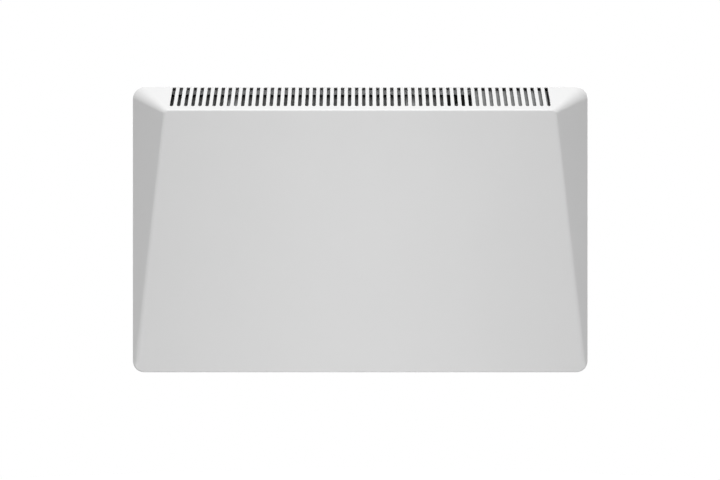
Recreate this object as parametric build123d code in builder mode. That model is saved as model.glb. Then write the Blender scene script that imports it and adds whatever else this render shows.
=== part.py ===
"""Wall panel convector heater, in millimetres.

The wall is the plane Y = 0 and the heater faces -Y, with +Z up. The origin lies on
the wall, at the middle of the four screw holes of the wall bracket. A depth is a
distance in front of the wall, so a point at depth d has Y = -d.
"""
from build123d import *
from math import atan2, cos, degrees, hypot, radians, sin
import os

os.makedirs("parts", exist_ok=True)

# Casing: a pressed and enamelled steel shell whose front leans out towards the top
panel_width = 686.0
panel_height = 430.0
crown_depth = 108.0          # depth of the front's top edge
rim_depth = 50.0             # depth of the straight rim round the sides
foot_depth = 54.3            # depth of the front at the bottom edge
casing_back = 7.0            # the casing stands this far off the wall
face_top_margin = 54.0       # the front's top edge ends this far inside each side
crown_drop = 39.2            # the slotted top slopes down by this
corner_radius = 18.0
hip_radius = 7.0             # corner radius of the front at its top
casing_sheet = 1.0
fold_radius = 3.0
flange_width = 12.0          # return flange at the back, sides and top
foot_flange = 7.0            # return flange at the bottom

# Air outlet: slots in the sloping top, round at the front and square at the rim
slot_pitch = 10.56
slot_width = 5.0
slot_side_margin = 8.0       # least distance from the front's side to the first slot
slot_front_margin = 13.3
slot_rear_margin = 1.8

# Air inlet: square slots in the underside, as far as the control box
inlet_side_margin = 43.0
inlet_box_gap = 12.0
inlet_length = 24.0
inlet_depth = 33.0

# Rear panel: a shallow tray inside the casing
panel_sheet = 0.8
tray_gap = 0.5
tray_depth = 10.0
bead_length = 300.0
bead_width = 14.0
bead_rise = 2.0
bead_height = 60.0

# Wall bracket, and the hinge on which the heater hangs
bracket_sheet = 1.5
leg_spacing = 300.0
leg_width = 30.0
leg_flange = 12.0
leg_hook_gap = 12.0          # the legs' side walls end this far above the hinge axis
leg_catch_gap = 23.0         # and this far below the catches
leg_catch_margin = 15.0      # the legs end this far above the catches
bar_length = 440.0
bar_width = 36.0
wall_screw_x = 400.0
wall_screw_z = 240.0
wall_screw_radius = 2.75
wall_screw_boss = 9.0
hem_radius = 2.5
hinge_rise = 15.0            # hinge axis above the bottom edge
hook_side_gap = 2.0
seat_gap = 0.3
fit_gap = 0.1                # round a piece that sits in a hole

# Turn catches that hold the top of the heater to the bracket
catch_drop = 32.0            # the catches' axes lie this far below the top
catch_shaft_radius = 4.0
catch_fit = 0.1
catch_neck_radius = 2.5
catch_hub_radius = 7.0
catch_tip_radius = 4.0
catch_reach = 22.0
catch_lever = 3.5
catch_wing_length = 18.0
catch_wing_width = 5.0
catch_wing = 2.0
wing_gap = 0.5
window_gap = 1.0

# Casing screws
screw_radius = 1.75
screw_head_across = 7.0
screw_head = 2.0
screw_length = 8.0
screw_hole_gap = 0.2
side_screw_drop = 95.0       # from the top, and from the bottom
top_screw_margin = 43.0      # from the sides

# Heat shield behind the element, with a flange and lip under the outlet
shield_sheet = 0.6
shield_depth = 16.0
shield_side_gap = 33.0
shield_box_gap = 42.0
shield_lip_gap = 3.0         # the lip runs on to this far from the control box
shield_rise = 37.0           # its foot above the bottom
shield_foot_flange = 10.0
shield_flange_drop = 9.4
lip_depth = 25.0
lip_drop = 2.7

# Brackets that carry the element, and the baffle in front of it
rib_side_gap = 152.0         # middle of the left one from the left side
rib_box_gap = 96.0           # middle of the right one from the control box
rib_width = 14.0
rib_sheet = 1.0
rib_rise = 43.0
rib_crown_gap = 10.0
baffle_inset = 13.4
baffle_sheet = 0.6
baffle_side_gap = 47.0
baffle_box_gap = 11.0
baffle_drop = 65.0
baffle_lip = 8.0

# Heating element: a sheathed rod clamped in an X-shaped aluminium profile
element_side_gap = 43.0
element_box_gap = 61.0
element_rise = 90.0
element_depth = 34.0
rod_radius = 4.1
rod_overhang = 8.0
rod_seal_radius = 3.0
rod_seal = 6.0
rod_pin_radius = 1.6
rod_pin = 8.0
profile_hub_radius = 7.0
profile_half_depth = 12.0
profile_half_height = 22.0
blade_sheet = 2.2
profile_gap = 1.0
notch_pitch = 20.0
notch_width = 2.0
notch_clear = 9.0             # the notches stay this far from the axis
bush_radius = 7.5
bush_flange_radius = 9.5
bush_flange = 2.0
bush_length = 8.0

# Control box, over the right end of the rear panel
box_side_gap = 63.0
box_width = 109.0
box_sheet = 0.8
box_face_inset = 8.0
box_crown_inset = 5.0
box_flange = 8.0
box_flange_length = 24.0
box_screw_drop = 105.0       # from the top, and from the bottom
lead_hole_radius = 6.0
lead_hole_rise = 57.0
lead_hole_depth = 30.0

# Control tub, a plastic moulding let into the underside below the control box
tub_depth = 29.0
tub_side_gap = 5.5            # between the tub and the control box's sides
tub_width = 32.6
tub_wall = 1.6
tub_recess = 15.0
tub_floor = 2.0
tub_flange = 2.0
tub_flange_margin = 3.5
tub_corner = 5.0
tub_gap = 0.3
tub_edge = 0.5               # chamfer of its rim

# Thermostat and its dial
dial_offset = 26.5           # to the left of the tub's middle
dial_radius = 12.5
dial_wall = 2.0
dial_skirt = 5.0
dial_disc = 2.5
dial_grip = 4.5
dial_grip_width = 6.0
shaft_radius = 3.0
shaft_fit = 0.06
bushing_radius = 4.5
bushing_length = 4.5
nut_across = 14.0
nut_height = 2.0
thermostat_length = 34.0
thermostat_width = 26.0
thermostat_height = 20.0
dial_edge = 1.0              # chamfer of its grip
thermostat_corner = 2.0
shaft_in_body = 5.0
blade_spacing = 18.0          # between the thermostat's two tabs

# Rocker switch
switch_offset = 12.5         # to the right of the tub's middle
switch_length = 19.2
switch_width = 13.0
switch_height = 16.0
bezel_margin = 1.6
bezel = 1.6
switch_wall = 0.9
rocker_gap = 0.3
rocker_swing = 20.0
rocker_rise = 4.6
rocker_waist = 3.4
rocker_pin_radius = 1.2
rocker_pin_height = 3.0

# Pilot lamp
pilot_offset = 36.5          # to the right of the tub's middle
pilot_radius = 3.0
pilot_flange_radius = 4.2
pilot_lens = 2.2
pilot_edge = 1.2             # chamfer of its lens
pilot_body = 12.0

# Overheat cut-out on the heat shield
cutout_edge = 21.0           # from the heat shield's right edge
cutout_rise = 255.0
cutout_cap_radius = 8.5
cutout_cap = 3.0
cutout_body_radius = 7.5
cutout_body = 8.0
cutout_flange = 1.0
cutout_ear_spacing = 24.0
cutout_ear_radius = 4.0
tab_width = 6.3
tab_sheet = 0.8
tab_length = 8.0
tab_spacing = 9.0

# Terminal block, cable gland and earth stud on the rear panel
block_inset = 54.0           # from the control box's left side
block_rise = 120.0
block_width = 33.0
block_length = 22.0
block_base = 6.0
block_corner = 2.0
way_count = 3
way_pitch = 10.0
way_radius = 4.6
way_rise = 5.0
way_screw_radius = 2.2
way_screw_sunk = 2.5
way_screw = 1.2
way_screw_spacing = 11.0
gland_rise = 65.0
gland_hole_radius = 7.0
gland_bore_radius = 4.2
gland_rim = 2.0
gland_face = 2.0
stud_inset = 86.0            # from the control box's left side
stud_rise = 95.0
stud_radius = 2.0
stud_length = 12.0
stud_nut_across = 7.0
stud_nut = 3.2
stud_foot_radius = 4.0
stud_foot = 0.8

# Leads, and the thermostat's bulb in the air inlet
lead_radius = 1.3
lead_sides = 8
lead_bend = 8.0
lead_run = 20.0
lead_rise = 19.0             # height of the long lead above the bottom
lead_hole_spread = 2.2
capillary_radius = 0.8
bulb_radius = 3.0
bulb_length = 60.0
bulb_box_gap = 51.0
bulb_rise = 23.0
bulb_depth = 14.0
capillary_depth = 36.0
clip_sheet = 1.2
clip_width = 8.0
clip_foot = 14.0

# Places that several pieces share. The sides lie at plus and minus panel_side.
bottom = -panel_height / 2
top = panel_height / 2
panel_side = panel_width / 2
side_slope = face_top_margin / (crown_depth - rim_depth)
top_slope = crown_drop / (crown_depth - rim_depth)
face_slope = (crown_depth - foot_depth) / (panel_height - crown_drop)
face_normal = Vector(0, -1, -face_slope).normalized()
panel_back = casing_back + casing_sheet
panel_front = panel_back + panel_sheet
shield_front = shield_depth + shield_sheet
hinge_height = bottom + hinge_rise
hinge_depth = panel_back + hem_radius
hook_inner = hem_radius + seat_gap
hook_outer = hook_inner + bracket_sheet
web_front = panel_back - seat_gap
web_back = web_front - bracket_sheet
leg_places = (-leg_spacing / 2, leg_spacing / 2)
window_low = bottom + foot_flange
inner_bottom = bottom + casing_sheet
floor_low = bottom + tub_recess
floor_top = floor_low + tub_floor
catch_height = top - catch_drop
box_right = panel_side - box_side_gap
box_left = box_right - box_width
box_middle = (box_left + box_right) / 2
tub_middle = box_middle
tub_length = box_width - 2 * tub_side_gap
dial_x = tub_middle - dial_offset
switch_x = tub_middle + switch_offset
pilot_x = tub_middle + pilot_offset
block_x = box_left + block_inset
block_height = bottom + block_rise
gland_height = bottom + gland_rise
lead_hole_height = bottom + lead_hole_rise
element_height = bottom + element_rise
shield_left = shield_side_gap - panel_side
shield_right = box_left - shield_box_gap
rib_foot = bottom + rib_rise
rib_places = (rib_side_gap - panel_side, box_left - rib_box_gap)


def front_depth(height, inset):
    """Depth of the leaning front at a height, moved in square to itself by inset."""
    return foot_depth + (height - bottom) * face_slope - inset * hypot(1, face_slope)


def crown_height(depth, inset):
    """Height of the sloping top at a depth, moved in square to itself by inset."""
    return top - (depth - rim_depth) * top_slope - inset * hypot(1, top_slope)


def brow_depth(face_inset, crown_inset):
    """Depth where the front and the sloping top meet, each moved in by its inset."""
    level = top + rim_depth * top_slope - crown_inset * hypot(1, top_slope)
    reach = foot_depth + (level - bottom) * face_slope - face_inset * hypot(1, face_slope)
    return reach / (1 + top_slope * face_slope)


def finish(piece, name):
    """Label a piece and write its STEP file."""
    piece.part.label = name
    export_step(piece.part, f"parts/{name}.step")


# Front casing. The straight rim is lofted into the smaller outline of the crown, and
# the leaning front then cuts it off, so the side faces end in a point at the bottom.
def casing_form(inset, back, radius):
    """The casing's outside, or its inside when inset by the sheet."""
    spare = crown_drop * 2
    outline_width = panel_width - 2 * inset
    outline_height = panel_height - 2 * inset
    outline_radius = corner_radius - inset
    side_inset = inset * hypot(1, side_slope)
    fold = rim_depth - (side_inset - inset) / side_slope
    crown_width = panel_width - 2 * face_top_margin - 2 * side_inset
    crown_top = top - crown_drop - inset * hypot(1, top_slope)
    crown_foot = bottom - spare + crown_drop
    with BuildPart() as form:
        with BuildSketch(Plane.XZ.offset(back)):
            with Locations((0, -spare / 2)):
                RectangleRounded(outline_width, outline_height + spare, outline_radius)
        extrude(amount=fold - back)
        with BuildSketch(Plane.XZ.offset(fold)):
            with Locations((0, -spare / 2)):
                RectangleRounded(outline_width, outline_height + spare, outline_radius)
        with BuildSketch(Plane.XZ.offset(crown_depth)):
            with Locations((0, (crown_top + crown_foot) / 2)):
                RectangleRounded(crown_width, crown_top - crown_foot, hip_radius)
        loft()
        fillet(form.edges().filter_by_position(Axis.Y, -fold, -fold), radius)
        foot_edge = Vector(0, -foot_depth, bottom)
        split(bisect_by=Plane(foot_edge - face_normal * inset, (1, 0, 0), face_normal),
              keep=Keep.BOTTOM)
        with BuildSketch(Plane.XZ.offset(back)):
            RectangleRounded(outline_width, outline_height, outline_radius)
        extrude(amount=crown_depth, mode=Mode.INTERSECT)
        front = form.faces().sort_by(lambda face: face.normal_at().dot(face_normal))[-1]
        fillet(front.edges(), radius)
    return form.part


crown_length = hypot(crown_depth - rim_depth, crown_drop)
crown_plane = Plane(
    origin=(0, -(rim_depth + crown_depth) / 2, top - crown_drop / 2),
    x_dir=(1, 0, 0),
    z_dir=(0, -crown_drop, crown_depth - rim_depth),
)
slot_front = -crown_length / 2 + slot_front_margin
slot_rear = crown_length / 2 - slot_rear_margin
slot_span = panel_width - 2 * face_top_margin - 2 * slot_side_margin
slot_count = int(slot_span / slot_pitch) + 1
inlet_first = inlet_side_margin - panel_side
inlet_count = int((box_left - inlet_box_gap - inlet_first) / slot_pitch) + 1
side_screw_x = panel_side - flange_width / 2
side_screw_height = top - side_screw_drop
top_screw_x = panel_side - top_screw_margin
top_screw_height = top - flange_width / 2
screw_places = (
    (-side_screw_x, side_screw_height), (side_screw_x, side_screw_height),
    (-side_screw_x, -side_screw_height), (side_screw_x, -side_screw_height),
    (-top_screw_x, top_screw_height), (top_screw_x, top_screw_height),
)
flange_foot = bottom + foot_flange
flange_top = top - flange_width

with BuildPart() as front_casing:
    add(casing_form(0, casing_back, fold_radius))
    add(casing_form(casing_sheet, panel_back, fold_radius - casing_sheet),
        mode=Mode.SUBTRACT)
    with BuildSketch(Plane.XZ.offset(casing_back)):
        with Locations((0, (flange_foot + flange_top) / 2)):
            RectangleRounded(panel_width - 2 * flange_width, flange_top - flange_foot,
                             corner_radius - flange_width)
        with Locations(*screw_places):
            Circle(screw_radius + screw_hole_gap)
    extrude(amount=casing_sheet, mode=Mode.SUBTRACT)
    with BuildSketch(crown_plane):
        with GridLocations(slot_pitch, 1, slot_count, 1):
            with Locations((0, (slot_front + slot_width / 2 + slot_rear) / 2)):
                Rectangle(slot_width, slot_rear - slot_front - slot_width / 2)
            with Locations((0, slot_front + slot_width / 2)):
                Circle(slot_width / 2)
    extrude(amount=fold_radius, both=True, mode=Mode.SUBTRACT)
    with BuildSketch(Plane.XY.offset(bottom)):
        with Locations((inlet_first + (inlet_count - 1) * slot_pitch / 2, -inlet_depth)):
            with GridLocations(slot_pitch, 1, inlet_count, 1):
                Rectangle(slot_width, inlet_length)
        with Locations((tub_middle, -tub_depth)):
            RectangleRounded(tub_length + 2 * tub_gap, tub_width + 2 * tub_gap,
                             tub_corner + tub_gap)
    extrude(amount=casing_sheet, mode=Mode.SUBTRACT)
finish(front_casing, "front_casing")


# Rear panel: a tray with pressed beads. Two windows let the bracket's hooks in, and
# the sheet above each window is rolled into the hem that the heater hangs and tilts on.
tray_inset = casing_sheet + tray_gap
tray_corner = corner_radius - tray_inset
window_width = leg_width + 2 * hook_side_gap
catch_window_width = catch_wing_width + 2 * window_gap
catch_window_height = catch_wing_length + 2 * window_gap
tub_flange_length = tub_length + 2 * tub_flange_margin

with BuildPart() as rear_panel:
    with BuildSketch(Plane.XZ.offset(panel_back)):
        RectangleRounded(panel_width - 2 * tray_inset, panel_height - 2 * tray_inset,
                         tray_corner)
    extrude(amount=tray_depth)
    with BuildSketch(Plane.XZ.offset(panel_front)):
        RectangleRounded(panel_width - 2 * tray_inset - 2 * panel_sheet,
                         panel_height - 2 * tray_inset - 2 * panel_sheet,
                         tray_corner - panel_sheet)
    extrude(amount=tray_depth, mode=Mode.SUBTRACT)
    with BuildSketch(Plane.XZ.offset(panel_front)):
        with GridLocations(1, 2 * bead_height, 1, 2):
            SlotOverall(bead_length, bead_width)
    extrude(amount=bead_rise)
    with BuildSketch(Plane.XZ.offset(panel_back)):
        with GridLocations(1, 2 * bead_height, 1, 2):
            SlotOverall(bead_length - 2 * panel_sheet, bead_width - 2 * panel_sheet)
    extrude(amount=bead_rise, mode=Mode.SUBTRACT)
    with BuildSketch(Plane.XZ.offset(panel_back)):
        for leg in leg_places:
            with Locations((leg, (window_low + hinge_height) / 2)):
                Rectangle(window_width, hinge_height - window_low)
            with Locations((leg, catch_height)):
                Rectangle(catch_window_width, catch_window_height)
        with Locations(*screw_places):
            Circle(screw_radius)
        with Locations((block_x, gland_height)):
            Circle(gland_hole_radius)
    extrude(amount=panel_sheet, mode=Mode.SUBTRACT)
    with BuildSketch(Plane.XZ.offset(panel_front)):
        with Locations((tub_middle, bottom + tray_inset)):
            Rectangle(tub_flange_length + 2 * tub_flange_margin, 2 * tray_inset)
    extrude(amount=tray_depth, mode=Mode.SUBTRACT)
    for leg in leg_places:
        with BuildSketch(Plane.YZ.offset(leg - window_width / 2)):
            with Locations((-hinge_depth, hinge_height)):
                Circle(hem_radius)
                Circle(hem_radius - panel_sheet, mode=Mode.SUBTRACT)
        extrude(amount=window_width)
finish(rear_panel, "rear_panel")


# Casing screws: hexagon-head screws through the return flange into the rear panel
with BuildPart() as casing_screws:
    with BuildSketch(Plane.XZ.offset(casing_back - screw_head)):
        with Locations(*screw_places):
            RegularPolygon(screw_head_across / 2, 6, major_radius=False)
    extrude(amount=screw_head)
    with BuildSketch(Plane.XZ.offset(casing_back)):
        with Locations(*screw_places):
            Circle(screw_radius)
    extrude(amount=screw_length)
finish(casing_screws, "casing_screws")


# Wall bracket: two channel legs on two cross bars, with a hook at the foot of each leg
leg_side_low = hinge_height + leg_hook_gap
leg_side_high = catch_height - leg_catch_gap
leg_top = catch_height + leg_catch_margin
with BuildPart() as wall_bracket:
    with BuildSketch(Plane.XZ):
        with GridLocations(1, wall_screw_z, 1, 2):
            RectangleRounded(bar_length, bar_width, wall_screw_boss)
        with Locations((0, (leg_side_low + leg_side_high) / 2)):
            with GridLocations(leg_spacing, 1, 2, 1):
                Rectangle(leg_width + 2 * leg_flange, leg_side_high - leg_side_low)
    extrude(amount=bracket_sheet)
    with BuildSketch(Plane.XZ):
        with Locations((0, (leg_side_low + leg_side_high) / 2)):
            with GridLocations(leg_spacing, 1, 2, 1):
                Rectangle(leg_width, leg_side_high - leg_side_low)
    extrude(amount=web_front)
    with BuildSketch(Plane.XZ.offset(bracket_sheet)):
        with Locations((0, (leg_side_low + leg_side_high) / 2)):
            with GridLocations(leg_spacing, 1, 2, 1):
                Rectangle(leg_width - 2 * bracket_sheet, leg_side_high - leg_side_low)
    extrude(amount=web_back - bracket_sheet, mode=Mode.SUBTRACT)
    with BuildSketch(Plane.XZ.offset(web_back)):
        with Locations((0, (hinge_height + leg_top) / 2)):
            with GridLocations(leg_spacing, 1, 2, 1):
                Rectangle(leg_width, leg_top - hinge_height)
    extrude(amount=bracket_sheet)
    for leg in leg_places:
        with BuildSketch(Plane.YZ.offset(leg - leg_width / 2)):
            with Locations((-hinge_depth, hinge_height)):
                Circle(hook_outer)
                Circle(hook_inner, mode=Mode.SUBTRACT)
            with Locations((-hinge_depth, hinge_height + hook_outer / 2)):
                Rectangle(2 * hook_outer, hook_outer, mode=Mode.SUBTRACT)
        extrude(amount=leg_width)
    with BuildSketch(Plane.XZ):
        with GridLocations(wall_screw_x, wall_screw_z, 2, 2):
            Circle(wall_screw_radius)
    extrude(amount=bracket_sheet, mode=Mode.SUBTRACT)
    with BuildSketch(Plane.XZ.offset(web_back)):
        with Locations(*[(leg, catch_height) for leg in leg_places]):
            Circle(catch_shaft_radius + catch_fit)
    extrude(amount=bracket_sheet, mode=Mode.SUBTRACT)
finish(wall_bracket, "wall_bracket")


# Turn catches. Each stands released, with its wing upright in the rear panel's window;
# a quarter turn lays the wing across the window and locks the heater to the bracket.
lever_front = web_back - seat_gap
for side, leg in (("left", leg_places[0]), ("right", leg_places[1])):
    inward = -1 if leg > 0 else 1
    with BuildPart() as catch:
        with BuildSketch(Plane.XZ.offset(lever_front - catch_lever)):
            with Locations((leg, catch_height)):
                Circle(catch_hub_radius)
            with Locations((leg + inward * catch_reach, catch_height)):
                Circle(catch_tip_radius)
            make_hull()
        extrude(amount=catch_lever)
        with BuildSketch(Plane.XZ.offset(lever_front)):
            with Locations((leg, catch_height)):
                Circle(catch_shaft_radius)
        extrude(amount=web_front - lever_front)
        with BuildSketch(Plane.XZ.offset(web_front)):
            with Locations((leg, catch_height)):
                Circle(catch_neck_radius)
        extrude(amount=panel_front + wing_gap - web_front)
        with BuildSketch(Plane.XZ.offset(panel_front + wing_gap)):
            with Locations((leg, catch_height)):
                SlotOverall(catch_wing_length, catch_wing_width, rotation=90)
        extrude(amount=catch_wing)
    finish(catch, f"catch_{side}")


def folded_strip(corners, sheet, first, last):
    """A sheet bent at the corners, given as depth and height, between two X places."""
    with BuildPart() as strip:
        with BuildSketch(Plane.YZ.offset(first)):
            with BuildLine():
                Polyline(*[(-depth, height) for depth, height in corners])
                offset(amount=sheet, side=Side.LEFT)
            make_face()
        extrude(amount=last - first)
    return strip.part


# Heat shield: stands off the rear panel on its foot, and its lip shows in the outlet
shield_foot = bottom + shield_rise
shield_flange_height = top - shield_flange_drop
with BuildPart() as heat_shield:
    add(folded_strip(
        ((panel_front, shield_foot - shield_foot_flange), (panel_front, shield_foot),
         (shield_depth, shield_foot), (shield_depth, shield_flange_height)),
        shield_sheet, shield_left, shield_right))
    add(folded_strip(
        ((shield_depth, shield_flange_height), (lip_depth, shield_flange_height),
         (lip_depth, top - lip_drop)),
        shield_sheet, shield_left, box_left - shield_lip_gap))
finish(heat_shield, "heat_shield")


# Brackets: C-shaped ribs on the heat shield that carry the element and the baffle
def chamber_outline(rear, foot, face_inset, crown_inset):
    """Section of the space behind the front, as points of Y and height."""
    brow = brow_depth(face_inset, crown_inset)
    rim_height = crown_height(rim_depth, crown_inset)
    return (
        (-rear, foot),
        (-front_depth(foot, face_inset), foot),
        (-brow, crown_height(brow, crown_inset)),
        (-rim_depth, rim_height),
        (-rear, rim_height),
    )


rib_face_inset = baffle_inset + baffle_sheet
for side, middle in zip(("left", "right"), rib_places):
    with BuildPart() as rib:
        with BuildSketch(Plane.YZ.offset(middle - rib_width / 2)):
            Polygon(*chamber_outline(shield_front, rib_foot, rib_face_inset,
                                     rib_crown_gap), align=None)
        extrude(amount=rib_width)
        with BuildSketch(Plane.YZ.offset(middle - rib_width / 2 + rib_sheet)):
            Polygon(*chamber_outline(shield_front + rib_sheet, rib_foot,
                                     rib_face_inset + rib_sheet,
                                     rib_crown_gap + rib_sheet), align=None)
        extrude(amount=rib_width, mode=Mode.SUBTRACT)
        with BuildSketch(Plane.YZ.offset(middle - rib_width / 2)):
            with Locations((-element_depth, element_height)):
                Circle(bush_radius + fit_gap)
        extrude(amount=rib_sheet, mode=Mode.SUBTRACT)
    finish(rib, f"element_bracket_{side}")

    web = middle - rib_width / 2
    with BuildPart() as bush:
        with BuildSketch(Plane.YZ.offset(web - bush_flange)):
            with Locations((-element_depth, element_height)):
                Circle(bush_flange_radius)
                Circle(rod_radius + fit_gap, mode=Mode.SUBTRACT)
        extrude(amount=bush_flange)
        with BuildSketch(Plane.YZ.offset(web)):
            with Locations((-element_depth, element_height)):
                Circle(bush_radius)
                Circle(rod_radius + fit_gap, mode=Mode.SUBTRACT)
        extrude(amount=bush_length - bush_flange)
    finish(bush, f"element_bush_{side}")


# Front baffle: parallel to the front, with a lip turned back at its foot
baffle_foot_depth = front_depth(rib_foot, baffle_inset)
baffle_top = top - baffle_drop
baffle_left = baffle_side_gap - panel_side
with BuildPart() as front_baffle:
    add(folded_strip(
        ((baffle_foot_depth - baffle_lip, rib_foot - baffle_sheet),
         (baffle_foot_depth, rib_foot - baffle_sheet),
         (front_depth(baffle_top, baffle_inset), baffle_top)),
        -baffle_sheet, baffle_left, box_left - baffle_box_gap))
finish(front_baffle, "front_baffle")


# Heating rod: steel sheath, ceramic end seals and terminal pins, on one axis
element_left = element_side_gap - panel_side
element_right = box_left - element_box_gap
rod_axis = Plane(origin=(0, -element_depth, element_height), x_dir=(1, 0, 0),
                 z_dir=(0, -1, 0))
rod_first = element_left - rod_overhang
rod_last = element_right + rod_overhang
with BuildPart() as heating_rod:
    with BuildSketch(rod_axis):
        with Locations(((rod_first + rod_last) / 2, rod_radius / 2)):
            Rectangle(rod_last - rod_first, rod_radius)
        with Locations(((rod_first + rod_last) / 2, rod_seal_radius / 2)):
            Rectangle(rod_last - rod_first + 2 * rod_seal, rod_seal_radius)
        with Locations(((rod_first + rod_last) / 2, rod_pin_radius / 2)):
            Rectangle(rod_last - rod_first + 2 * (rod_seal + rod_pin), rod_pin_radius)
    revolve(axis=Axis((0, -element_depth, element_height), (1, 0, 0)))
finish(heating_rod, "heating_rod")


# Element profile: X-shaped aluminium in lengths between the brackets, its four blades
# notched along their edges so that the air stirs through them
blade_length = 2 * hypot(profile_half_depth, profile_half_height)
blade_turn = degrees(atan2(profile_half_height, profile_half_depth))
profile_ends = [element_left]
for middle in rib_places:
    profile_ends.append(middle - rib_width / 2 - bush_flange - profile_gap)
    profile_ends.append(middle + rib_width / 2 + profile_gap)
profile_ends.append(element_right)
notch_count = int((element_right - element_left) / notch_pitch)
notch_height = profile_half_height
with BuildPart() as element_profile:
    for first, last in zip(profile_ends[::2], profile_ends[1::2]):
        with BuildSketch(Plane.YZ.offset(first)):
            with Locations((-element_depth, element_height)):
                Rectangle(blade_length, blade_sheet, rotation=blade_turn)
                Rectangle(blade_length, blade_sheet, rotation=-blade_turn)
                Circle(profile_hub_radius)
                Circle(rod_radius + fit_gap, mode=Mode.SUBTRACT)
        extrude(amount=last - first)
    with BuildSketch(Plane.XZ):
        with Locations(((element_left + element_right) / 2, element_height)):
            with GridLocations(notch_pitch, 2 * notch_clear + notch_height,
                               notch_count, 2):
                Rectangle(notch_width, notch_height)
    extrude(amount=crown_depth, mode=Mode.SUBTRACT)
finish(element_profile, "element_profile")


# Overheat cut-out: a bimetal disc switch, its cap flat against the heat shield
cutout_x = shield_right - cutout_edge
cutout_height = bottom + cutout_rise
cutout_place = (cutout_x, cutout_height)
with BuildPart() as thermal_cutout:
    with BuildSketch(Plane.XZ.offset(shield_front)):
        with Locations(cutout_place):
            SlotCenterToCenter(cutout_ear_spacing, 2 * cutout_ear_radius)
            Circle(cutout_cap_radius)
    extrude(amount=cutout_flange)
    with BuildSketch(Plane.XZ.offset(shield_front)):
        with Locations(cutout_place):
            Circle(cutout_cap_radius)
    extrude(amount=cutout_cap)
    with BuildSketch(Plane.XZ.offset(shield_front + cutout_cap)):
        with Locations(cutout_place):
            Circle(cutout_body_radius)
    extrude(amount=cutout_body)
    with BuildSketch(Plane.XZ.offset(shield_front + cutout_cap + cutout_body)):
        with Locations(cutout_place):
            with GridLocations(tab_spacing, 1, 2, 1):
                Rectangle(tab_sheet, tab_width)
    extrude(amount=tab_length)
finish(thermal_cutout, "thermal_cutout")
cutout_tip = shield_front + cutout_cap + cutout_body + tab_length


# Control box: a cover on the rear panel whose sloping top lies close under the outlet.
# It is open at the back, where the panel closes it, and below, where the tub does.
box_foot = inner_bottom + tub_flange + tub_gap
box_screw_height = top - box_screw_drop
with BuildPart() as control_box:
    with BuildSketch(Plane.YZ.offset(box_left)):
        Polygon(*chamber_outline(panel_front, box_foot, box_face_inset,
                                 box_crown_inset), align=None)
    extrude(amount=box_width)
    with BuildSketch(Plane.YZ.offset(box_left + box_sheet)):
        Polygon(*chamber_outline(panel_front, box_foot, box_face_inset + box_sheet,
                                 box_crown_inset + box_sheet), align=None)
    extrude(amount=box_width - 2 * box_sheet, mode=Mode.SUBTRACT)
    with BuildSketch(Plane.XZ.offset(panel_front)):
        with Locations((box_middle, 0)):
            with GridLocations(box_width + box_flange, 2 * box_screw_height, 2, 2):
                Rectangle(box_flange, box_flange_length)
            with GridLocations(box_width + box_flange, 2 * box_screw_height, 2, 2):
                Circle(screw_radius, mode=Mode.SUBTRACT)
    extrude(amount=box_sheet)
    with BuildSketch(Plane.YZ.offset(box_left)):
        with Locations((-lead_hole_depth, lead_hole_height)):
            Circle(lead_hole_radius)
    extrude(amount=box_sheet, mode=Mode.SUBTRACT)
finish(control_box, "control_box")

with BuildPart() as box_screws:
    with BuildSketch(Plane.XZ.offset(panel_front + box_sheet)):
        with Locations((box_middle, 0)):
            with GridLocations(box_width + box_flange, 2 * box_screw_height, 2, 2):
                RegularPolygon(screw_head_across / 2, 6, major_radius=False)
    extrude(amount=screw_head)
finish(box_screws, "box_screws")

with BuildPart() as box_grommet:
    with BuildSketch(Plane.YZ.offset(box_left - gland_rim)):
        with Locations((-lead_hole_depth, lead_hole_height)):
            Circle(lead_hole_radius + gland_rim)
    extrude(amount=box_sheet + 2 * gland_rim)
    with BuildSketch(Plane.YZ.offset(box_left)):
        with Locations((-lead_hole_depth, lead_hole_height)):
            Circle(lead_hole_radius + 2 * gland_rim)
            Circle(lead_hole_radius, mode=Mode.SUBTRACT)
    extrude(amount=box_sheet, mode=Mode.SUBTRACT)
    with BuildSketch(Plane.YZ.offset(box_left - gland_rim)):
        with Locations((-lead_hole_depth, lead_hole_height)):
            Circle(lead_hole_radius - gland_rim / 2)
    extrude(amount=box_sheet + 2 * gland_rim, mode=Mode.SUBTRACT)
finish(box_grommet, "box_grommet")


# Control tub: a moulded recess in the underside, held by a flange behind the sheet
with BuildPart() as control_tub:
    with BuildSketch(Plane.XY.offset(bottom)):
        with Locations((tub_middle, -tub_depth)):
            RectangleRounded(tub_length, tub_width, tub_corner)
    extrude(amount=tub_recess + tub_floor)
    with BuildSketch(Plane.XY.offset(inner_bottom)):
        with Locations((tub_middle, -tub_depth)):
            RectangleRounded(tub_length + 2 * tub_flange_margin,
                             tub_width + 2 * tub_flange_margin - 2 * tub_gap,
                             tub_corner)
    extrude(amount=tub_flange)
    with BuildSketch(Plane.XY.offset(bottom)):
        with Locations((tub_middle, -tub_depth)):
            RectangleRounded(tub_length - 2 * tub_wall, tub_width - 2 * tub_wall,
                             tub_corner - tub_wall)
    extrude(amount=tub_recess, mode=Mode.SUBTRACT)
    chamfer(control_tub.edges().group_by(Axis.Z)[0], tub_edge)
    with BuildSketch(Plane.XY.offset(floor_low)):
        with Locations((dial_x, -tub_depth)):
            Circle(bushing_radius + fit_gap)
        with Locations((switch_x, -tub_depth)):
            Rectangle(switch_length + 2 * fit_gap, switch_width + 2 * fit_gap)
        with Locations((pilot_x, -tub_depth)):
            Circle(pilot_radius + fit_gap)
    extrude(amount=tub_floor, mode=Mode.SUBTRACT)
finish(control_tub, "control_tub")


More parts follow.
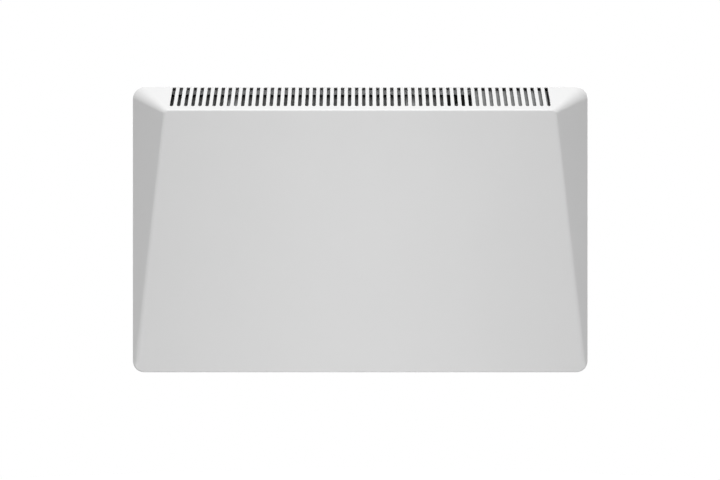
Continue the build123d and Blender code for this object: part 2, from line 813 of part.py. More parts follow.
# Thermostat: its body stands on the tub's floor and its bushing is nutted below
dial_place = (dial_x, -tub_depth)
bushing_foot = floor_top - bushing_length
with BuildPart() as thermostat:
    with BuildSketch(Plane.XY.offset(floor_top)):
        with Locations(dial_place):
            RectangleRounded(thermostat_length, thermostat_width, thermostat_corner)
    extrude(amount=thermostat_height)
    with BuildSketch(Plane.XY.offset(bushing_foot)):
        with Locations(dial_place):
            Circle(bushing_radius)
    extrude(amount=bushing_length)
    with BuildSketch(Plane.XY.offset(bushing_foot)):
        with Locations(dial_place):
            Circle(shaft_radius + shaft_fit)
    extrude(amount=bushing_length + shaft_in_body + seat_gap, mode=Mode.SUBTRACT)
    with BuildSketch(Plane.XY.offset(floor_top + thermostat_height)):
        with Locations(dial_place):
            with GridLocations(blade_spacing, 1, 2, 1):
                Rectangle(tab_width, tab_sheet)
    extrude(amount=tab_length)
finish(thermostat, "thermostat")

with BuildPart() as thermostat_nut:
    with BuildSketch(Plane.XY.offset(floor_low - nut_height)):
        with Locations(dial_place):
            RegularPolygon(nut_across / 2, 6, major_radius=False)
            Circle(bushing_radius + fit_gap, mode=Mode.SUBTRACT)
    extrude(amount=nut_height)
finish(thermostat_nut, "thermostat_nut")

dial_top = floor_low - seat_gap
dial_face = dial_top - dial_skirt - dial_disc
with BuildPart() as thermostat_shaft:
    with BuildSketch(Plane.XY.offset(dial_top - dial_skirt)):
        with Locations(dial_place):
            Circle(shaft_radius)
    extrude(amount=dial_skirt + seat_gap + tub_floor + shaft_in_body)
finish(thermostat_shaft, "thermostat_shaft")

with BuildPart() as thermostat_dial:
    with BuildSketch(Plane.XY.offset(dial_face)):
        with Locations(dial_place):
            Circle(dial_radius)
    extrude(amount=dial_skirt + dial_disc)
    with BuildSketch(Plane.XY.offset(dial_top - dial_skirt)):
        with Locations(dial_place):
            Circle(dial_radius - dial_wall)
    extrude(amount=dial_skirt, mode=Mode.SUBTRACT)
    with BuildSketch(Plane.XY.offset(dial_face - dial_grip)):
        with Locations(dial_place):
            SlotOverall(2 * dial_radius - dial_wall, dial_grip_width)
    extrude(amount=dial_grip)
    chamfer(thermostat_dial.edges().group_by(Axis.Z)[0], dial_edge)
finish(thermostat_dial, "thermostat_dial")


# Rocker switch: a bezelled body through the tub's floor, and a rocker on two pins. The
# rocker rests in its off position, tilted to one side, and swings over to the other.
switch_place = (switch_x, -tub_depth)
rocker_axis = floor_low + rocker_pin_height
rocker_length = switch_length - 2 * switch_wall - 2 * rocker_gap
rocker_width = switch_width - 2 * switch_wall - 2 * rocker_gap
with BuildPart() as switch_body:
    with BuildSketch(Plane.XY.offset(floor_low)):
        with Locations(switch_place):
            Rectangle(switch_length, switch_width)
    extrude(amount=switch_height)
    with BuildSketch(Plane.XY.offset(floor_low - bezel)):
        with Locations(switch_place):
            RectangleRounded(switch_length + 2 * bezel_margin,
                             switch_width + 2 * bezel_margin, bezel_margin)
    extrude(amount=bezel)
    with BuildSketch(Plane.XY.offset(floor_low - bezel)):
        with Locations(switch_place):
            Rectangle(switch_length - 2 * switch_wall, switch_width - 2 * switch_wall)
    extrude(amount=bezel + switch_height / 2, mode=Mode.SUBTRACT)
    with BuildSketch(Plane.XZ.offset(tub_depth - switch_width / 2 + rocker_gap)):
        with Locations((switch_x, rocker_axis)):
            Circle(rocker_pin_radius + shaft_fit)
    extrude(amount=switch_width - 2 * rocker_gap, mode=Mode.SUBTRACT)
    with BuildSketch(Plane.XY.offset(floor_low + switch_height)):
        with Locations(switch_place):
            with GridLocations(tab_width, 1, 3, 1):
                Rectangle(tab_sheet, tab_width)
    extrude(amount=tab_length)
finish(switch_body, "switch_body")

tilt = radians(rocker_swing / 2)
rocker_lip = rocker_rise + bezel
rocker_half = (rocker_length / 2 - rocker_lip * sin(tilt)) / cos(tilt)
with BuildPart() as switch_rocker:
    with BuildSketch(Plane.XZ.offset(tub_depth - rocker_width / 2)):
        with Locations((switch_x, rocker_axis)):
            with Locations(Location((0, 0), rocker_swing / 2)):
                Polygon((-rocker_half, 0), (-rocker_half, -rocker_lip),
                        (0, -rocker_waist - bezel), (rocker_half, -rocker_lip),
                        (rocker_half, 0), (0, rocker_pin_height), align=None)
    extrude(amount=rocker_width)
    with BuildSketch(Plane.XZ.offset(tub_depth - switch_width / 2 + 2 * rocker_gap)):
        with Locations((switch_x, rocker_axis)):
            Circle(rocker_pin_radius)
    extrude(amount=switch_width - 4 * rocker_gap)
finish(switch_rocker, "switch_rocker")


# Pilot lamp: a raised lens on a stem through the tub's floor, with its lamp behind
with BuildPart() as pilot_lamp:
    with BuildSketch(Plane.XY.offset(floor_low - pilot_lens)):
        with Locations((pilot_x, -tub_depth)):
            Circle(pilot_flange_radius)
    extrude(amount=pilot_lens)
    chamfer(pilot_lamp.edges().group_by(Axis.Z)[0], pilot_edge)
    with BuildSketch(Plane.XY.offset(floor_low)):
        with Locations((pilot_x, -tub_depth)):
            Circle(pilot_radius)
    extrude(amount=pilot_body)
finish(pilot_lamp, "pilot_lamp")


# Terminal block on the rear panel, with a screw in each end of its three ways
block_place = (block_x, block_height)
block_front = panel_front + block_base
with BuildPart() as terminal_block:
    with BuildSketch(Plane.XZ.offset(panel_front)):
        with Locations(block_place):
            RectangleRounded(block_width, block_length, block_corner)
    extrude(amount=block_base)
    with BuildSketch(Plane.XZ.offset(block_front)):
        with Locations(block_place):
            with GridLocations(way_pitch, 1, way_count, 1):
                SlotOverall(block_length, 2 * way_radius, rotation=90)
    extrude(amount=way_rise)
    with BuildSketch(Plane.XZ.offset(block_front + way_rise - way_screw_sunk)):
        with Locations(block_place):
            with GridLocations(way_pitch, way_screw_spacing, way_count, 2):
                Circle(way_screw_radius)
    extrude(amount=way_screw_sunk, mode=Mode.SUBTRACT)
    with BuildSketch(Plane.XY.offset(block_height - block_length / 2)):
        with Locations((block_x, -block_front)):
            with GridLocations(way_pitch, 1, way_count, 1):
                Circle(lead_radius + fit_gap)
    extrude(amount=block_length, mode=Mode.SUBTRACT)
finish(terminal_block, "terminal_block")

with BuildPart() as terminal_screws:
    with BuildSketch(Plane.XZ.offset(block_front + way_rise - way_screw_sunk)):
        with Locations(block_place):
            with GridLocations(way_pitch, way_screw_spacing, way_count, 2):
                Circle(way_screw_radius - fit_gap)
    extrude(amount=way_screw)
finish(terminal_screws, "terminal_screws")


# Cable gland: a grommet in the rear panel, below the terminal block
with BuildPart() as cable_gland:
    with BuildSketch(Plane.XZ.offset(panel_back - gland_face)):
        with Locations((block_x, gland_height)):
            Circle(gland_hole_radius + gland_rim)
    extrude(amount=panel_sheet + 2 * gland_face)
    with BuildSketch(Plane.XZ.offset(panel_back)):
        with Locations((block_x, gland_height)):
            Circle(gland_hole_radius + 2 * gland_rim)
            Circle(gland_hole_radius, mode=Mode.SUBTRACT)
    extrude(amount=panel_sheet, mode=Mode.SUBTRACT)
    with BuildSketch(Plane.XZ.offset(panel_back - gland_face)):
        with Locations((block_x, gland_height)):
            Circle(gland_bore_radius)
    extrude(amount=panel_sheet + 2 * gland_face, mode=Mode.SUBTRACT)
finish(cable_gland, "cable_gland")


# Earth stud on the rear panel, and its nut
stud_x = box_left + stud_inset
stud_height = bottom + stud_rise
with BuildPart() as earth_stud:
    with BuildSketch(Plane.XZ.offset(panel_front)):
        with Locations((stud_x, stud_height)):
            Circle(stud_foot_radius)
    extrude(amount=stud_foot)
    with BuildSketch(Plane.XZ.offset(panel_front)):
        with Locations((stud_x, stud_height)):
            Circle(stud_radius)
    extrude(amount=stud_length)
finish(earth_stud, "earth_stud")

nut_depth = panel_front + stud_foot + 2 * lead_radius + 3 * seat_gap
with BuildPart() as earth_nut:
    with BuildSketch(Plane.XZ.offset(nut_depth)):
        with Locations((stud_x, stud_height)):
            RegularPolygon(stud_nut_across / 2, 6, major_radius=False)
            Circle(stud_radius + fit_gap, mode=Mode.SUBTRACT)
    extrude(amount=stud_nut)
finish(earth_nut, "earth_nut")


# Leads, and the thermostat's capillary and bulb. Each runs straight between bends.
def lead(corners, radius):
    """A lead with flat sides through its corners, given as X, depth and height."""
    points = [(x, -depth, height) for x, depth, height in corners]
    start = Vector(*points[0])
    with BuildPart() as run:
        with BuildLine() as route:
            FilletPolyline(*points, radius=lead_bend)
        with BuildSketch(Plane(origin=start, z_dir=Vector(*points[1]) - start)):
            RegularPolygon(radius, lead_sides)
        sweep(path=route.wires()[0])
    return run.part


def lead_piece(corners, radius, name):
    """Make a lead a piece of its own and write it."""
    with BuildPart() as piece:
        add(lead(corners, radius))
    finish(piece, name)


pin_left = rod_first - rod_seal - rod_pin / 2
pin_right = rod_last + rod_seal + rod_pin / 2
under_pin = element_height - rod_pin_radius - fit_gap
over_pin = element_height + rod_pin_radius + fit_gap
hole_before = box_left - lead_run
hole_after = box_left + lead_run
upper = lead_hole_height + lead_hole_spread
lower = lead_hole_height - lead_hole_spread
near = lead_hole_depth - lead_hole_spread
far = lead_hole_depth + lead_hole_spread
lead_low = bottom + lead_rise
tab_left = cutout_x - tab_spacing / 2
tab_right = cutout_x + tab_spacing / 2
tab_middle = cutout_tip - tab_length / 2
tab_foot = cutout_height - tab_width / 2 - fit_gap
block_foot = block_height - block_length / 2 - fit_gap
way_left = block_x - way_pitch
way_right = block_x + way_pitch
thermostat_top = floor_top + thermostat_height + tab_length + fit_gap
switch_top = floor_low + switch_height + tab_length + fit_gap
switch_left = switch_x - tab_width
switch_right = switch_x + tab_width

lead_piece(((pin_left, element_depth, under_pin),
            (pin_left, element_depth, lead_low),
            (hole_before, element_depth, lead_low),
            (hole_before, far, lower),
            (hole_after, far, lower),
            (way_left, block_front, block_foot - 2 * lead_run),
            (way_left, block_front, block_foot)), lead_radius, "lead_neutral")
lead_piece(((pin_right, element_depth, over_pin),
            (pin_right, element_depth, over_pin + 2 * lead_run),
            (tab_left, tab_middle, tab_foot - 2 * lead_run),
            (tab_left, tab_middle, tab_foot)), lead_radius, "lead_element")
lead_piece(((tab_right, tab_middle, tab_foot),
            (tab_right, tab_middle, tab_foot - lead_run),
            (hole_before, near, upper + 3 * lead_run),
            (hole_before, near, upper),
            (dial_x - blade_spacing / 2, near, upper),
            (dial_x - blade_spacing / 2, near, thermostat_top)), lead_radius,
           "lead_cutout")
lead_piece(((block_x, block_front, block_foot),
            (block_x, block_front, block_foot - 2 * lead_run),
            (switch_right, tub_depth, switch_top + lead_run / 2),
            (switch_right, tub_depth, switch_top)), lead_radius, "lead_live")
lead_piece(((switch_left, tub_depth, switch_top),
            (switch_left, tub_depth, switch_top + lead_run),
            (dial_x + blade_spacing / 2, tub_depth, switch_top + lead_run),
            (dial_x + blade_spacing / 2, tub_depth, thermostat_top)), lead_radius,
           "lead_switch")
stud_lead_depth = panel_front + stud_foot + seat_gap + lead_radius
lead_piece(((way_right, block_front, block_foot),
            (way_right, block_front, stud_height),
            (stud_x - stud_radius - fit_gap, stud_lead_depth, stud_height)), lead_radius,
           "lead_earth")

bulb_right = box_left - bulb_box_gap
bulb_left = bulb_right - bulb_length
bulb_height = bottom + bulb_rise
with BuildPart() as thermostat_bulb:
    add(lead(((dial_x, capillary_depth, floor_top + thermostat_height + fit_gap),
              (dial_x, capillary_depth, lead_hole_height),
              (hole_before, lead_hole_depth, lead_hole_height),
              (hole_before - lead_run / 2, bulb_depth, bulb_height),
              (bulb_right, bulb_depth, bulb_height)), capillary_radius))
    with BuildSketch(Plane.YZ.offset(bulb_left)):
        with Locations((-bulb_depth, bulb_height)):
            Circle(bulb_radius)
    extrude(amount=bulb_length)
finish(thermostat_bulb, "thermostat_bulb")

with BuildPart() as bulb_clip:
    with BuildSketch(Plane.YZ.offset((bulb_left + bulb_right - clip_width) / 2)):
        with Locations((-bulb_depth, bulb_height)):
            Circle(bulb_depth - panel_front)
        with Locations((-panel_front - clip_sheet / 2, bulb_height - clip_foot / 2)):
            Rectangle(clip_sheet, clip_foot)
        with Locations((-bulb_depth, bulb_height)):
            Circle(bulb_radius + fit_gap, mode=Mode.SUBTRACT)
    extrude(amount=clip_width)
finish(bulb_clip, "bulb_clip")
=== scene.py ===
"""Wall panel convector heater: its surfaces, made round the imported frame, in metres.

The wall is the plane Y = 0, the heater faces -Y, and a depth is a distance from the wall.
"""
from math import cos, pi, radians, sin, tan

import bmesh
import bpy
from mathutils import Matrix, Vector


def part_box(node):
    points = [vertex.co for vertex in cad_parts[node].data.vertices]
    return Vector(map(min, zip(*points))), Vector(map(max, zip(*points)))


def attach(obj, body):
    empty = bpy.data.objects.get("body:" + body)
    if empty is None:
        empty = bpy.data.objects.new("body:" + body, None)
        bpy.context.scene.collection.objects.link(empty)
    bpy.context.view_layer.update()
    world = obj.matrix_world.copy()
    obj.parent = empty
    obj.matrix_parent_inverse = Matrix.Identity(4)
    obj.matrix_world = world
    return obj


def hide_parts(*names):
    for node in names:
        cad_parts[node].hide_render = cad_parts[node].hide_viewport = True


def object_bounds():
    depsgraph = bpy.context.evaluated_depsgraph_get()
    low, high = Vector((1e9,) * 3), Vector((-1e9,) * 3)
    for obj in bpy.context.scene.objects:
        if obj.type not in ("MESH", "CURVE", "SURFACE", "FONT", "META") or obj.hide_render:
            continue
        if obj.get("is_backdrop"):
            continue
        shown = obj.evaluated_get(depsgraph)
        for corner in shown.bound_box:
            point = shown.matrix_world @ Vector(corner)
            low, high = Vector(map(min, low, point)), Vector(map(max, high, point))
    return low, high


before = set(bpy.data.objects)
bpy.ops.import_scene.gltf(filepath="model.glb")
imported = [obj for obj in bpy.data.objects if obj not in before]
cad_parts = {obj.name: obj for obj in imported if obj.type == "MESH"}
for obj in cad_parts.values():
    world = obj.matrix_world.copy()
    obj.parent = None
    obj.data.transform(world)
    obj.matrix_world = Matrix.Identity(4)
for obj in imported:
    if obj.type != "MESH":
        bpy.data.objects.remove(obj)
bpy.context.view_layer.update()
mm = 0.001


# Wall bracket: two folded channel legs on two cross bars, with a hook at each foot. It
# is pressed from galvanised sheet and screwed to the wall, and carries the heater.
def linear(code):
    """A colour written as an sRGB hex value, as linear RGBA."""
    parts = [int(code[i:i + 2], 16) / 255 for i in (0, 2, 4)]
    return [p / 12.92 if p <= 0.04045 else ((p + 0.055) / 1.055) ** 2.4 for p in parts] + [1.0]


def add(owner, kind, settings, links):
    """One shader node with its settings, and links from input names to output sockets."""
    node = owner.node_tree.nodes.new("ShaderNode" + kind)
    for name, value in settings.items():
        if isinstance(name, int) or name in node.inputs:
            node.inputs[name].default_value = value
        else:
            setattr(node, name, value)
    for name, socket in links.items():
        owner.node_tree.links.new(socket, node.inputs[name])
    return node


def new_material(name):
    """An empty material, and the socket of its object coordinates, in metres."""
    material = bpy.data.materials.new(name)
    material.use_nodes = True
    material.node_tree.nodes.clear()
    place = add(material, "TexCoord", {}, {}).outputs["Object"]
    return material, place


def finish(material, settings, links):
    """The material's surface, from the settings and links of its principled shader."""
    surface = add(material, "BsdfPrincipled", settings, links)
    add(material, "OutputMaterial", {}, {"Surface": surface.outputs["BSDF"]})


def speckled(material, place, grain, dark, light, depth):
    """Colour between two hex values in a fine noise, and the relief of the same noise."""
    noise = add(material, "TexNoise", {"Scale": 1 / grain, "Detail": 3}, {"Vector": place})
    colour = add(material, "Mix", {"data_type": "RGBA", "A": linear(dark), "B": linear(light)},
                 {"Factor": noise.outputs["Fac"]})
    relief = add(material, "Bump", {"Strength": 0.5, "Distance": depth},
                 {"Height": noise.outputs["Fac"]})
    return colour.outputs["Result"], relief.outputs["Normal"]


def new_piece(shape, name, material, body):
    """An object from a bmesh, smooth, with its material, on its body."""
    mesh = bpy.data.meshes.new(name)
    bmesh.ops.recalc_face_normals(shape, faces=shape.faces)
    shape.to_mesh(mesh)
    shape.free()
    piece = bpy.data.objects.new(name, mesh)
    bpy.context.scene.collection.objects.link(piece)
    mesh.materials.append(material)
    mesh.polygons.foreach_set("use_smooth", [True] * len(mesh.polygons))
    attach(piece, body)
    return piece


def rounded(piece, width, limit=30):
    """Round a piece's edges, and shade its flats flat."""
    edges = piece.modifiers.new("edges", "BEVEL")
    edges.width = width
    edges.segments = 2
    edges.limit_method = "ANGLE"
    edges.angle_limit = radians(limit)
    evened = piece.modifiers.new("evened", "WEIGHTED_NORMAL")
    evened.keep_sharp = True


def softened(node, name, material, body, width):
    """A CAD node's shape with rounded edges, in the node's place."""
    shape = bmesh.new()
    shape.from_mesh(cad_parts[node].data)
    bmesh.ops.remove_doubles(shape, verts=shape.verts, dist=0.002 * mm)
    bmesh.ops.dissolve_limit(shape, angle_limit=radians(1), verts=shape.verts, edges=shape.edges)
    piece = new_piece(shape, name, material, body)
    rounded(piece, width)
    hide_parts(node)
    return piece


# Galvanised steel: hot-dipped sheet. The eye sees flat grey crystals of zinc, each with
# its own shade and gloss, under a thin dull film.
def galvanised(name, dark, light, gloss_low, gloss_high, metal):
    """Zinc-coated sheet between two shades, with crystals about 7 mm across."""
    material, place = new_material(name)
    spangle = add(material, "TexVoronoi", {"Scale": 1 / (7 * mm)}, {"Vector": place})
    overlay = add(material, "TexNoise", {"Scale": 1 / (40 * mm), "Detail": 4}, {"Vector": place})
    crystal = add(material, "SeparateColor", {}, {"Color": spangle.outputs["Color"]})
    shade = add(material, "Mix", {"data_type": "RGBA", "A": linear(dark), "B": linear(light)},
                {"Factor": crystal.outputs["Red"]})
    dull = add(material, "Mix", {"data_type": "RGBA", "B": linear(dark)},
               {"Factor": overlay.outputs["Fac"], "A": shade.outputs["Result"]})
    gloss = add(material, "MapRange", {"To Min": gloss_low, "To Max": gloss_high},
                {"Value": crystal.outputs["Green"]})
    relief = add(material, "Bump", {"Strength": 0.25, "Distance": 0.1 * mm},
                 {"Height": crystal.outputs["Blue"]})
    finish(material, {"Metallic": metal},
           {"Base Color": dull.outputs["Result"], "Roughness": gloss.outputs["Result"],
            "Normal": relief.outputs["Normal"]})
    return material


zinc_sheet = galvanised("galvanised_steel", "7E7F80", "8E8F90", 0.34, 0.46, 0.85)
softened("wall_bracket", "pressed_bracket", zinc_sheet, "bracket", 0.3 * mm)


# Turn catches: each a lever with a wing on its shaft, moulded in one and snapped into a
# bracket leg. A quarter turn lays the wing across the rear panel's window.
# Glass-filled nylon: the eye sees a matt near-black with a faint fibrous grain.
filled_nylon, place = new_material("glass_filled_nylon")
stretched = add(filled_nylon, "Mapping", {"Scale": (1, 1, 0.2)}, {"Vector": place})
colour, normal = speckled(filled_nylon, stretched.outputs["Vector"], 0.5 * mm, "1C1D1F", "2B2C2E",
                          0.03 * mm)
finish(filled_nylon, {"Roughness": 0.58}, {"Base Color": colour, "Normal": normal})
for hand in ("left", "right"):
    softened(f"catch_{hand}", f"moulded_catch_{hand}", filled_nylon, f"catch_{hand}",
             0.4 * mm)


# Rear panel: a galvanised tray with two pressed beads, hooked on the bracket by the
# hems rolled above its lower windows. Everything inside the heater is fixed to it. The
# eye sees bare zinc; inside, painted shade blackens it under the outlet, and painted
# light makes it pale beyond the control box.
def positions(material):
    """The separate X, Y and Z of a material's object coordinates."""
    place = material.node_tree.nodes["Texture Coordinate"].outputs["Object"]
    return add(material, "SeparateXYZ", {}, {0: place}).outputs


def larger(owner, first, second):
    """The larger of two shader values."""
    return add(owner, "Math", {"operation": "MAXIMUM"}, {0: first, 1: second}).outputs[0]


def tinted(material, code, keep):
    """Turn a material's colour into a code's wherever a factor falls from 1 to 0."""
    surface = material.node_tree.nodes["Principled BSDF"]
    bare = surface.inputs["Base Color"].links[0].from_socket
    overlay = add(material, "Mix", {"data_type": "RGBA", "A": linear(code)},
               {"Factor": keep, "B": bare})
    material.node_tree.links.new(overlay.outputs["Result"], surface.inputs["Base Color"])


panel_inside = -8.4 * mm
shade_low = 110 * mm           # the painted shade begins at this height
shade_high = 185 * mm          # and is full from this one up
shade_end_x = 170 * mm      # no painted shade to the right of this
shade_black = "141312"
panel_zinc = galvanised("zinc_painted_light_and_shade", "9A9B9C", "B0B1B2", 0.4, 0.54, 0.85)
position = positions(panel_zinc)
outside = add(panel_zinc, "Math", {"operation": "GREATER_THAN", 1: panel_inside},
              {0: position["Y"]})
within = add(panel_zinc, "Math", {"operation": "LESS_THAN", 1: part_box("control_box")[1].x},
             {0: position["X"]})
no_painted_light = larger(panel_zinc, outside.outputs[0], within.outputs[0])
# painted light: the panel's inside right of the control box is made near white
tinted(panel_zinc, "F4F4F4", no_painted_light)
beside = add(panel_zinc, "Math", {"operation": "GREATER_THAN", 1: shade_end_x},
             {0: position["X"]})
below = add(panel_zinc, "MapRange", {"From Min": shade_high, "From Max": shade_low},
            {"Value": position["Z"]})
either = larger(panel_zinc, outside.outputs[0], beside.outputs[0])
unshaded = larger(panel_zinc, either, below.outputs["Result"])
keep = add(panel_zinc, "MapRange", {"To Min": 0.05}, {"Value": unshaded})
# painted shade: the panel's inside under the outlet is made near black, from the lower height to
# the higher one
tinted(panel_zinc, shade_black, keep.outputs["Result"])
softened("rear_panel", "pressed_tray", panel_zinc, "heater", 0.2 * mm)


# Cable gland: a rubber ring snapped into the rear panel, where the mains lead comes out.
# EPDM rubber: the eye sees a dull black with a bloom of fine grey dust.
rubber, place = new_material("epdm_rubber")
colour, normal = speckled(rubber, place, 0.8 * mm, "171717", "2A2A29", 0.02 * mm)
finish(rubber, {"Roughness": 0.78}, {"Base Color": colour, "Normal": normal})
softened("cable_gland", "moulded_gland", rubber, "heater", 0.6 * mm)


# Terminal block: three raised ways on one base, in steatite, screwed to the rear panel.
# Steatite: pressed and fired ceramic. The eye sees a cream body, matt, with fine pits.
steatite, place = new_material("steatite")
colour, normal = speckled(steatite, place, 0.9 * mm, "D9D2C2", "EDE8DC", 0.04 * mm)
finish(steatite, {"Roughness": 0.5}, {"Base Color": colour, "Normal": normal})
softened("terminal_block", "pressed_block", steatite, "heater", 0.5 * mm)


# Terminal screws: slotted brass heads sunk in the block's wells, two to a way.
# Brass: turned parts. The eye sees a soft yellow metal with fine turning marks.
def prism(shape, outline, reach):
    """Add a closed prism, a flat outline drawn out along a vector, and return its far cap."""
    near = [shape.verts.new(point) for point in outline]
    far = [shape.verts.new(point + reach) for point in outline]
    shape.faces.new(near)
    cap = shape.faces.new(far)
    for index in range(len(near)):
        shape.faces.new((near[index - 1], near[index], far[index], far[index - 1]))
    cap.normal_update()
    if cap.normal.dot(reach) < 0:
        cap.normal_flip()
    return cap


brass, place = new_material("turned_brass")
colour, normal = speckled(brass, place, 0.25 * mm, "A8874A", "C6A665", 0.01 * mm)
finish(brass, {"Metallic": 1.0, "Roughness": 0.3}, {"Base Color": colour, "Normal": normal})
screws_low, screws_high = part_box("terminal_screws")
head = 2.1 * mm                 # radius of a head
slot_half = 0.35 * mm
slot_deep = 0.6 * mm
half_steps = 12                 # round half a head
heads = bmesh.new()
for way in range(3):
    x = screws_low.x + head + way * (screws_high.x - screws_low.x - 2 * head) / 2
    slot_turn = radians(20 + 35 * way)      # no two ways have their slots in line
    for z in (screws_low.z + head, screws_high.z - head):
        disc = [Vector((x + head * cos(pi * i / half_steps), screws_high.y,
                        z + head * sin(pi * i / half_steps))) for i in range(2 * half_steps)]
        prism(heads, disc, Vector((0, screws_low.y + slot_deep - screws_high.y, 0)))
        for half_turn in (0, pi):
            start = slot_turn + half_turn + slot_half / head
            arc = [start + (pi - 2 * slot_half / head) * i / half_steps
                   for i in range(half_steps + 1)]
            segment = [Vector((x + head * cos(turn), screws_low.y + slot_deep,
                               z + head * sin(turn))) for turn in arc]
            prism(heads, segment, Vector((0, -slot_deep, 0)))
piece = new_piece(heads, "slotted_screws", brass, "heater")
rounded(piece, 0.1 * mm)
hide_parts("terminal_screws")


# Earth stud and nut: the stud is welded to the rear panel, and the nut clamps the earth
# lead's eye on it.
softened("earth_stud", "turned_stud", brass, "heater", 0.2 * mm)
softened("earth_nut", "hexagon_nut", brass, "heater", 0.3 * mm)


# Heat shield: a folded sheet that stands off the rear panel; its lip shows in the
# outlet. The eye sees bright zinc on the lip; below it the wall is painted darker, with
# a painted black shadow in the corner under its flange.
def painted_shade_zinc(name, dark, light, low, high, tone):
    """Zinc sheet with painted shade: a tone of its bare colour up to a low height, painted black at
    a high one, and bare above it.
    """
    material = galvanised(name, dark, light, 0.46, 0.52, 0.85)
    height = positions(material)["Z"]
    fall = add(material, "MapRange",
               {"From Min": low, "From Max": high, "To Min": tone, "To Max": 0.0},
               {"Value": height})
    above = add(material, "Math", {"operation": "GREATER_THAN", 1: high + 1 * mm}, {0: height})
    tinted(material, shade_black, larger(material, fall.outputs["Result"], above.outputs[0]))
    return material


# painted shade: the shield's wall is darkened, and black just under its flange; the lip above stays
# bare
shield_zinc = painted_shade_zinc("zinc_painted_shade", "B0B1B2", "BCBDBE", 196.5 * mm, 204 * mm, 0.44)
shield = softened("heat_shield", "folded_shield", shield_zinc, "heater", 0.15 * mm)
lip_rise = 0.7 * mm           # the lip stands higher than the solid's, as the photo shows
edge_depth = 0.5 * mm         # holds all points of the lip's free edge
lip_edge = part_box("heat_shield")[1].z - edge_depth
for vertex in shield.data.vertices:
    if vertex.co.z > lip_edge:
        vertex.co.z += lip_rise


# Element brackets, bushes and baffle: two C-shaped ribs on the shield carry the rod in
# ceramic bushes, and the baffle in front of it guides the warm air to the outlet.
# Aluminised steel: the eye sees a duller and darker grey on the baffle than bare zinc.
# painted shade: the ribs are painted black just under the shield's flange, fading to bare zinc
# lower down
rib_zinc = painted_shade_zinc("rib_zinc", "848586", "A8A9AA", 186 * mm, 203 * mm, 1.0)
dulled_sheet = galvanised("aluminised_steel", "8A8B8C", "9C9D9E", 0.6, 0.7, 0.3)
for hand in ("left", "right"):
    softened(f"element_bracket_{hand}", f"folded_rib_{hand}", rib_zinc, "heater",
             0.2 * mm)
    softened(f"element_bush_{hand}", f"fired_bush_{hand}", steatite, "heater", 0.3 * mm)
softened("front_baffle", "folded_baffle", dulled_sheet, "heater", 0.15 * mm)


# Heating rod: a steel sheath round the heating wire, with ceramic seals and steel pins.
# Heat-darkened steel: the eye sees a brown-grey tube with straw and blue clouds.
def apart(material, axis, middle, half):
    """1 on what lies further than half from the middle along an axis, and else 0."""
    off = add(material, "Math", {"operation": "SUBTRACT", 1: middle},
              {0: positions(material)[axis]})
    reach = add(material, "Math", {"operation": "ABSOLUTE"}, {0: off.outputs[0]})
    beyond = add(material, "Math", {"operation": "GREATER_THAN", 1: half}, {0: reach.outputs[0]})
    return beyond.outputs[0]


rod_low, rod_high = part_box("heating_rod")
rod_middle = (rod_low.x + rod_high.x) / 2
rod_half = (rod_high.x - rod_low.x) / 2
pin = 8 * mm
seal = 6 * mm
sheath, place = new_material("heat_darkened_steel")
cloud = add(sheath, "TexNoise", {"Scale": 1 / (25 * mm), "Detail": 2}, {"Vector": place})
tint = add(sheath, "Mix", {"data_type": "RGBA", "A": linear("6B5F52"), "B": linear("565A63")},
           {"Factor": cloud.outputs["Fac"]})
at_seal = apart(sheath, "X", rod_middle, rod_half - pin - seal)
at_pin = apart(sheath, "X", rod_middle, rod_half - pin)
sealed = add(sheath, "Mix", {"data_type": "RGBA", "B": linear("D8D2C4")},
             {"Factor": at_seal, "A": tint.outputs["Result"]})
pinned = add(sheath, "Mix", {"data_type": "RGBA", "B": linear("A9A9A6")},
             {"Factor": at_pin, "A": sealed.outputs["Result"]})
# 1 on the sheath and the pins, and 0 on the seals
unsealed = add(sheath, "Math", {"operation": "SUBTRACT"}, {0: at_pin, 1: at_seal})
metal = add(sheath, "Math", {"operation": "ADD", 1: 1.0}, {0: unsealed.outputs[0]})
normal = speckled(sheath, place, 0.4 * mm, "000000", "FFFFFF", 0.01 * mm)[1]
finish(sheath, {"Roughness": 0.45},
       {"Base Color": pinned.outputs["Result"], "Metallic": metal.outputs[0], "Normal": normal})
softened("heating_rod", "sheathed_rod", sheath, "heater", 0.3 * mm)


# Element profile: X-shaped lengths pressed on the rod, their blades notched to stir air.
# Pressed aluminium: the eye sees a pale metal with drawing lines along its length.
aluminium, place = new_material("pressed_aluminium")
drawn = add(aluminium, "Mapping", {"Scale": (0.02, 1, 1)}, {"Vector": place})
colour, normal = speckled(aluminium, drawn.outputs["Vector"], 0.3 * mm, "B4B6B8", "CACCCD",
                          0.01 * mm)
finish(aluminium, {"Metallic": 1.0, "Roughness": 0.38}, {"Base Color": colour, "Normal": normal})
softened("element_profile", "notched_profile", aluminium, "heater", 0.25 * mm)


# Overheat cut-out: a bimetal disc switch, its metal cap clamped flat on the shield and
# its two tabs at the front. Phenolic: the eye sees a dense brown-black moulding.
def tabbed(name, axis, middle, half):
    """A phenolic body between metal parts at both ends of an axis."""
    material, place = new_material(name)
    colour, normal = speckled(material, place, 0.7 * mm, "2A211C", "3A2F28", 0.02 * mm)
    ends = apart(material, axis, middle, half)
    tipped = add(material, "Mix", {"data_type": "RGBA", "B": linear("B7AE97")},
                 {"Factor": ends, "A": colour})
    finish(material, {"Roughness": 0.42},
           {"Base Color": tipped.outputs["Result"], "Metallic": ends, "Normal": normal})
    return material


cutout_cap = 3 * mm
cutout_body = 8 * mm
cutout_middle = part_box("thermal_cutout")[1].y - cutout_cap - cutout_body / 2
softened("thermal_cutout", "disc_cutout",
         tabbed("cutout_phenolic", "Y", cutout_middle, cutout_body / 2),
         "heater", 0.3 * mm)


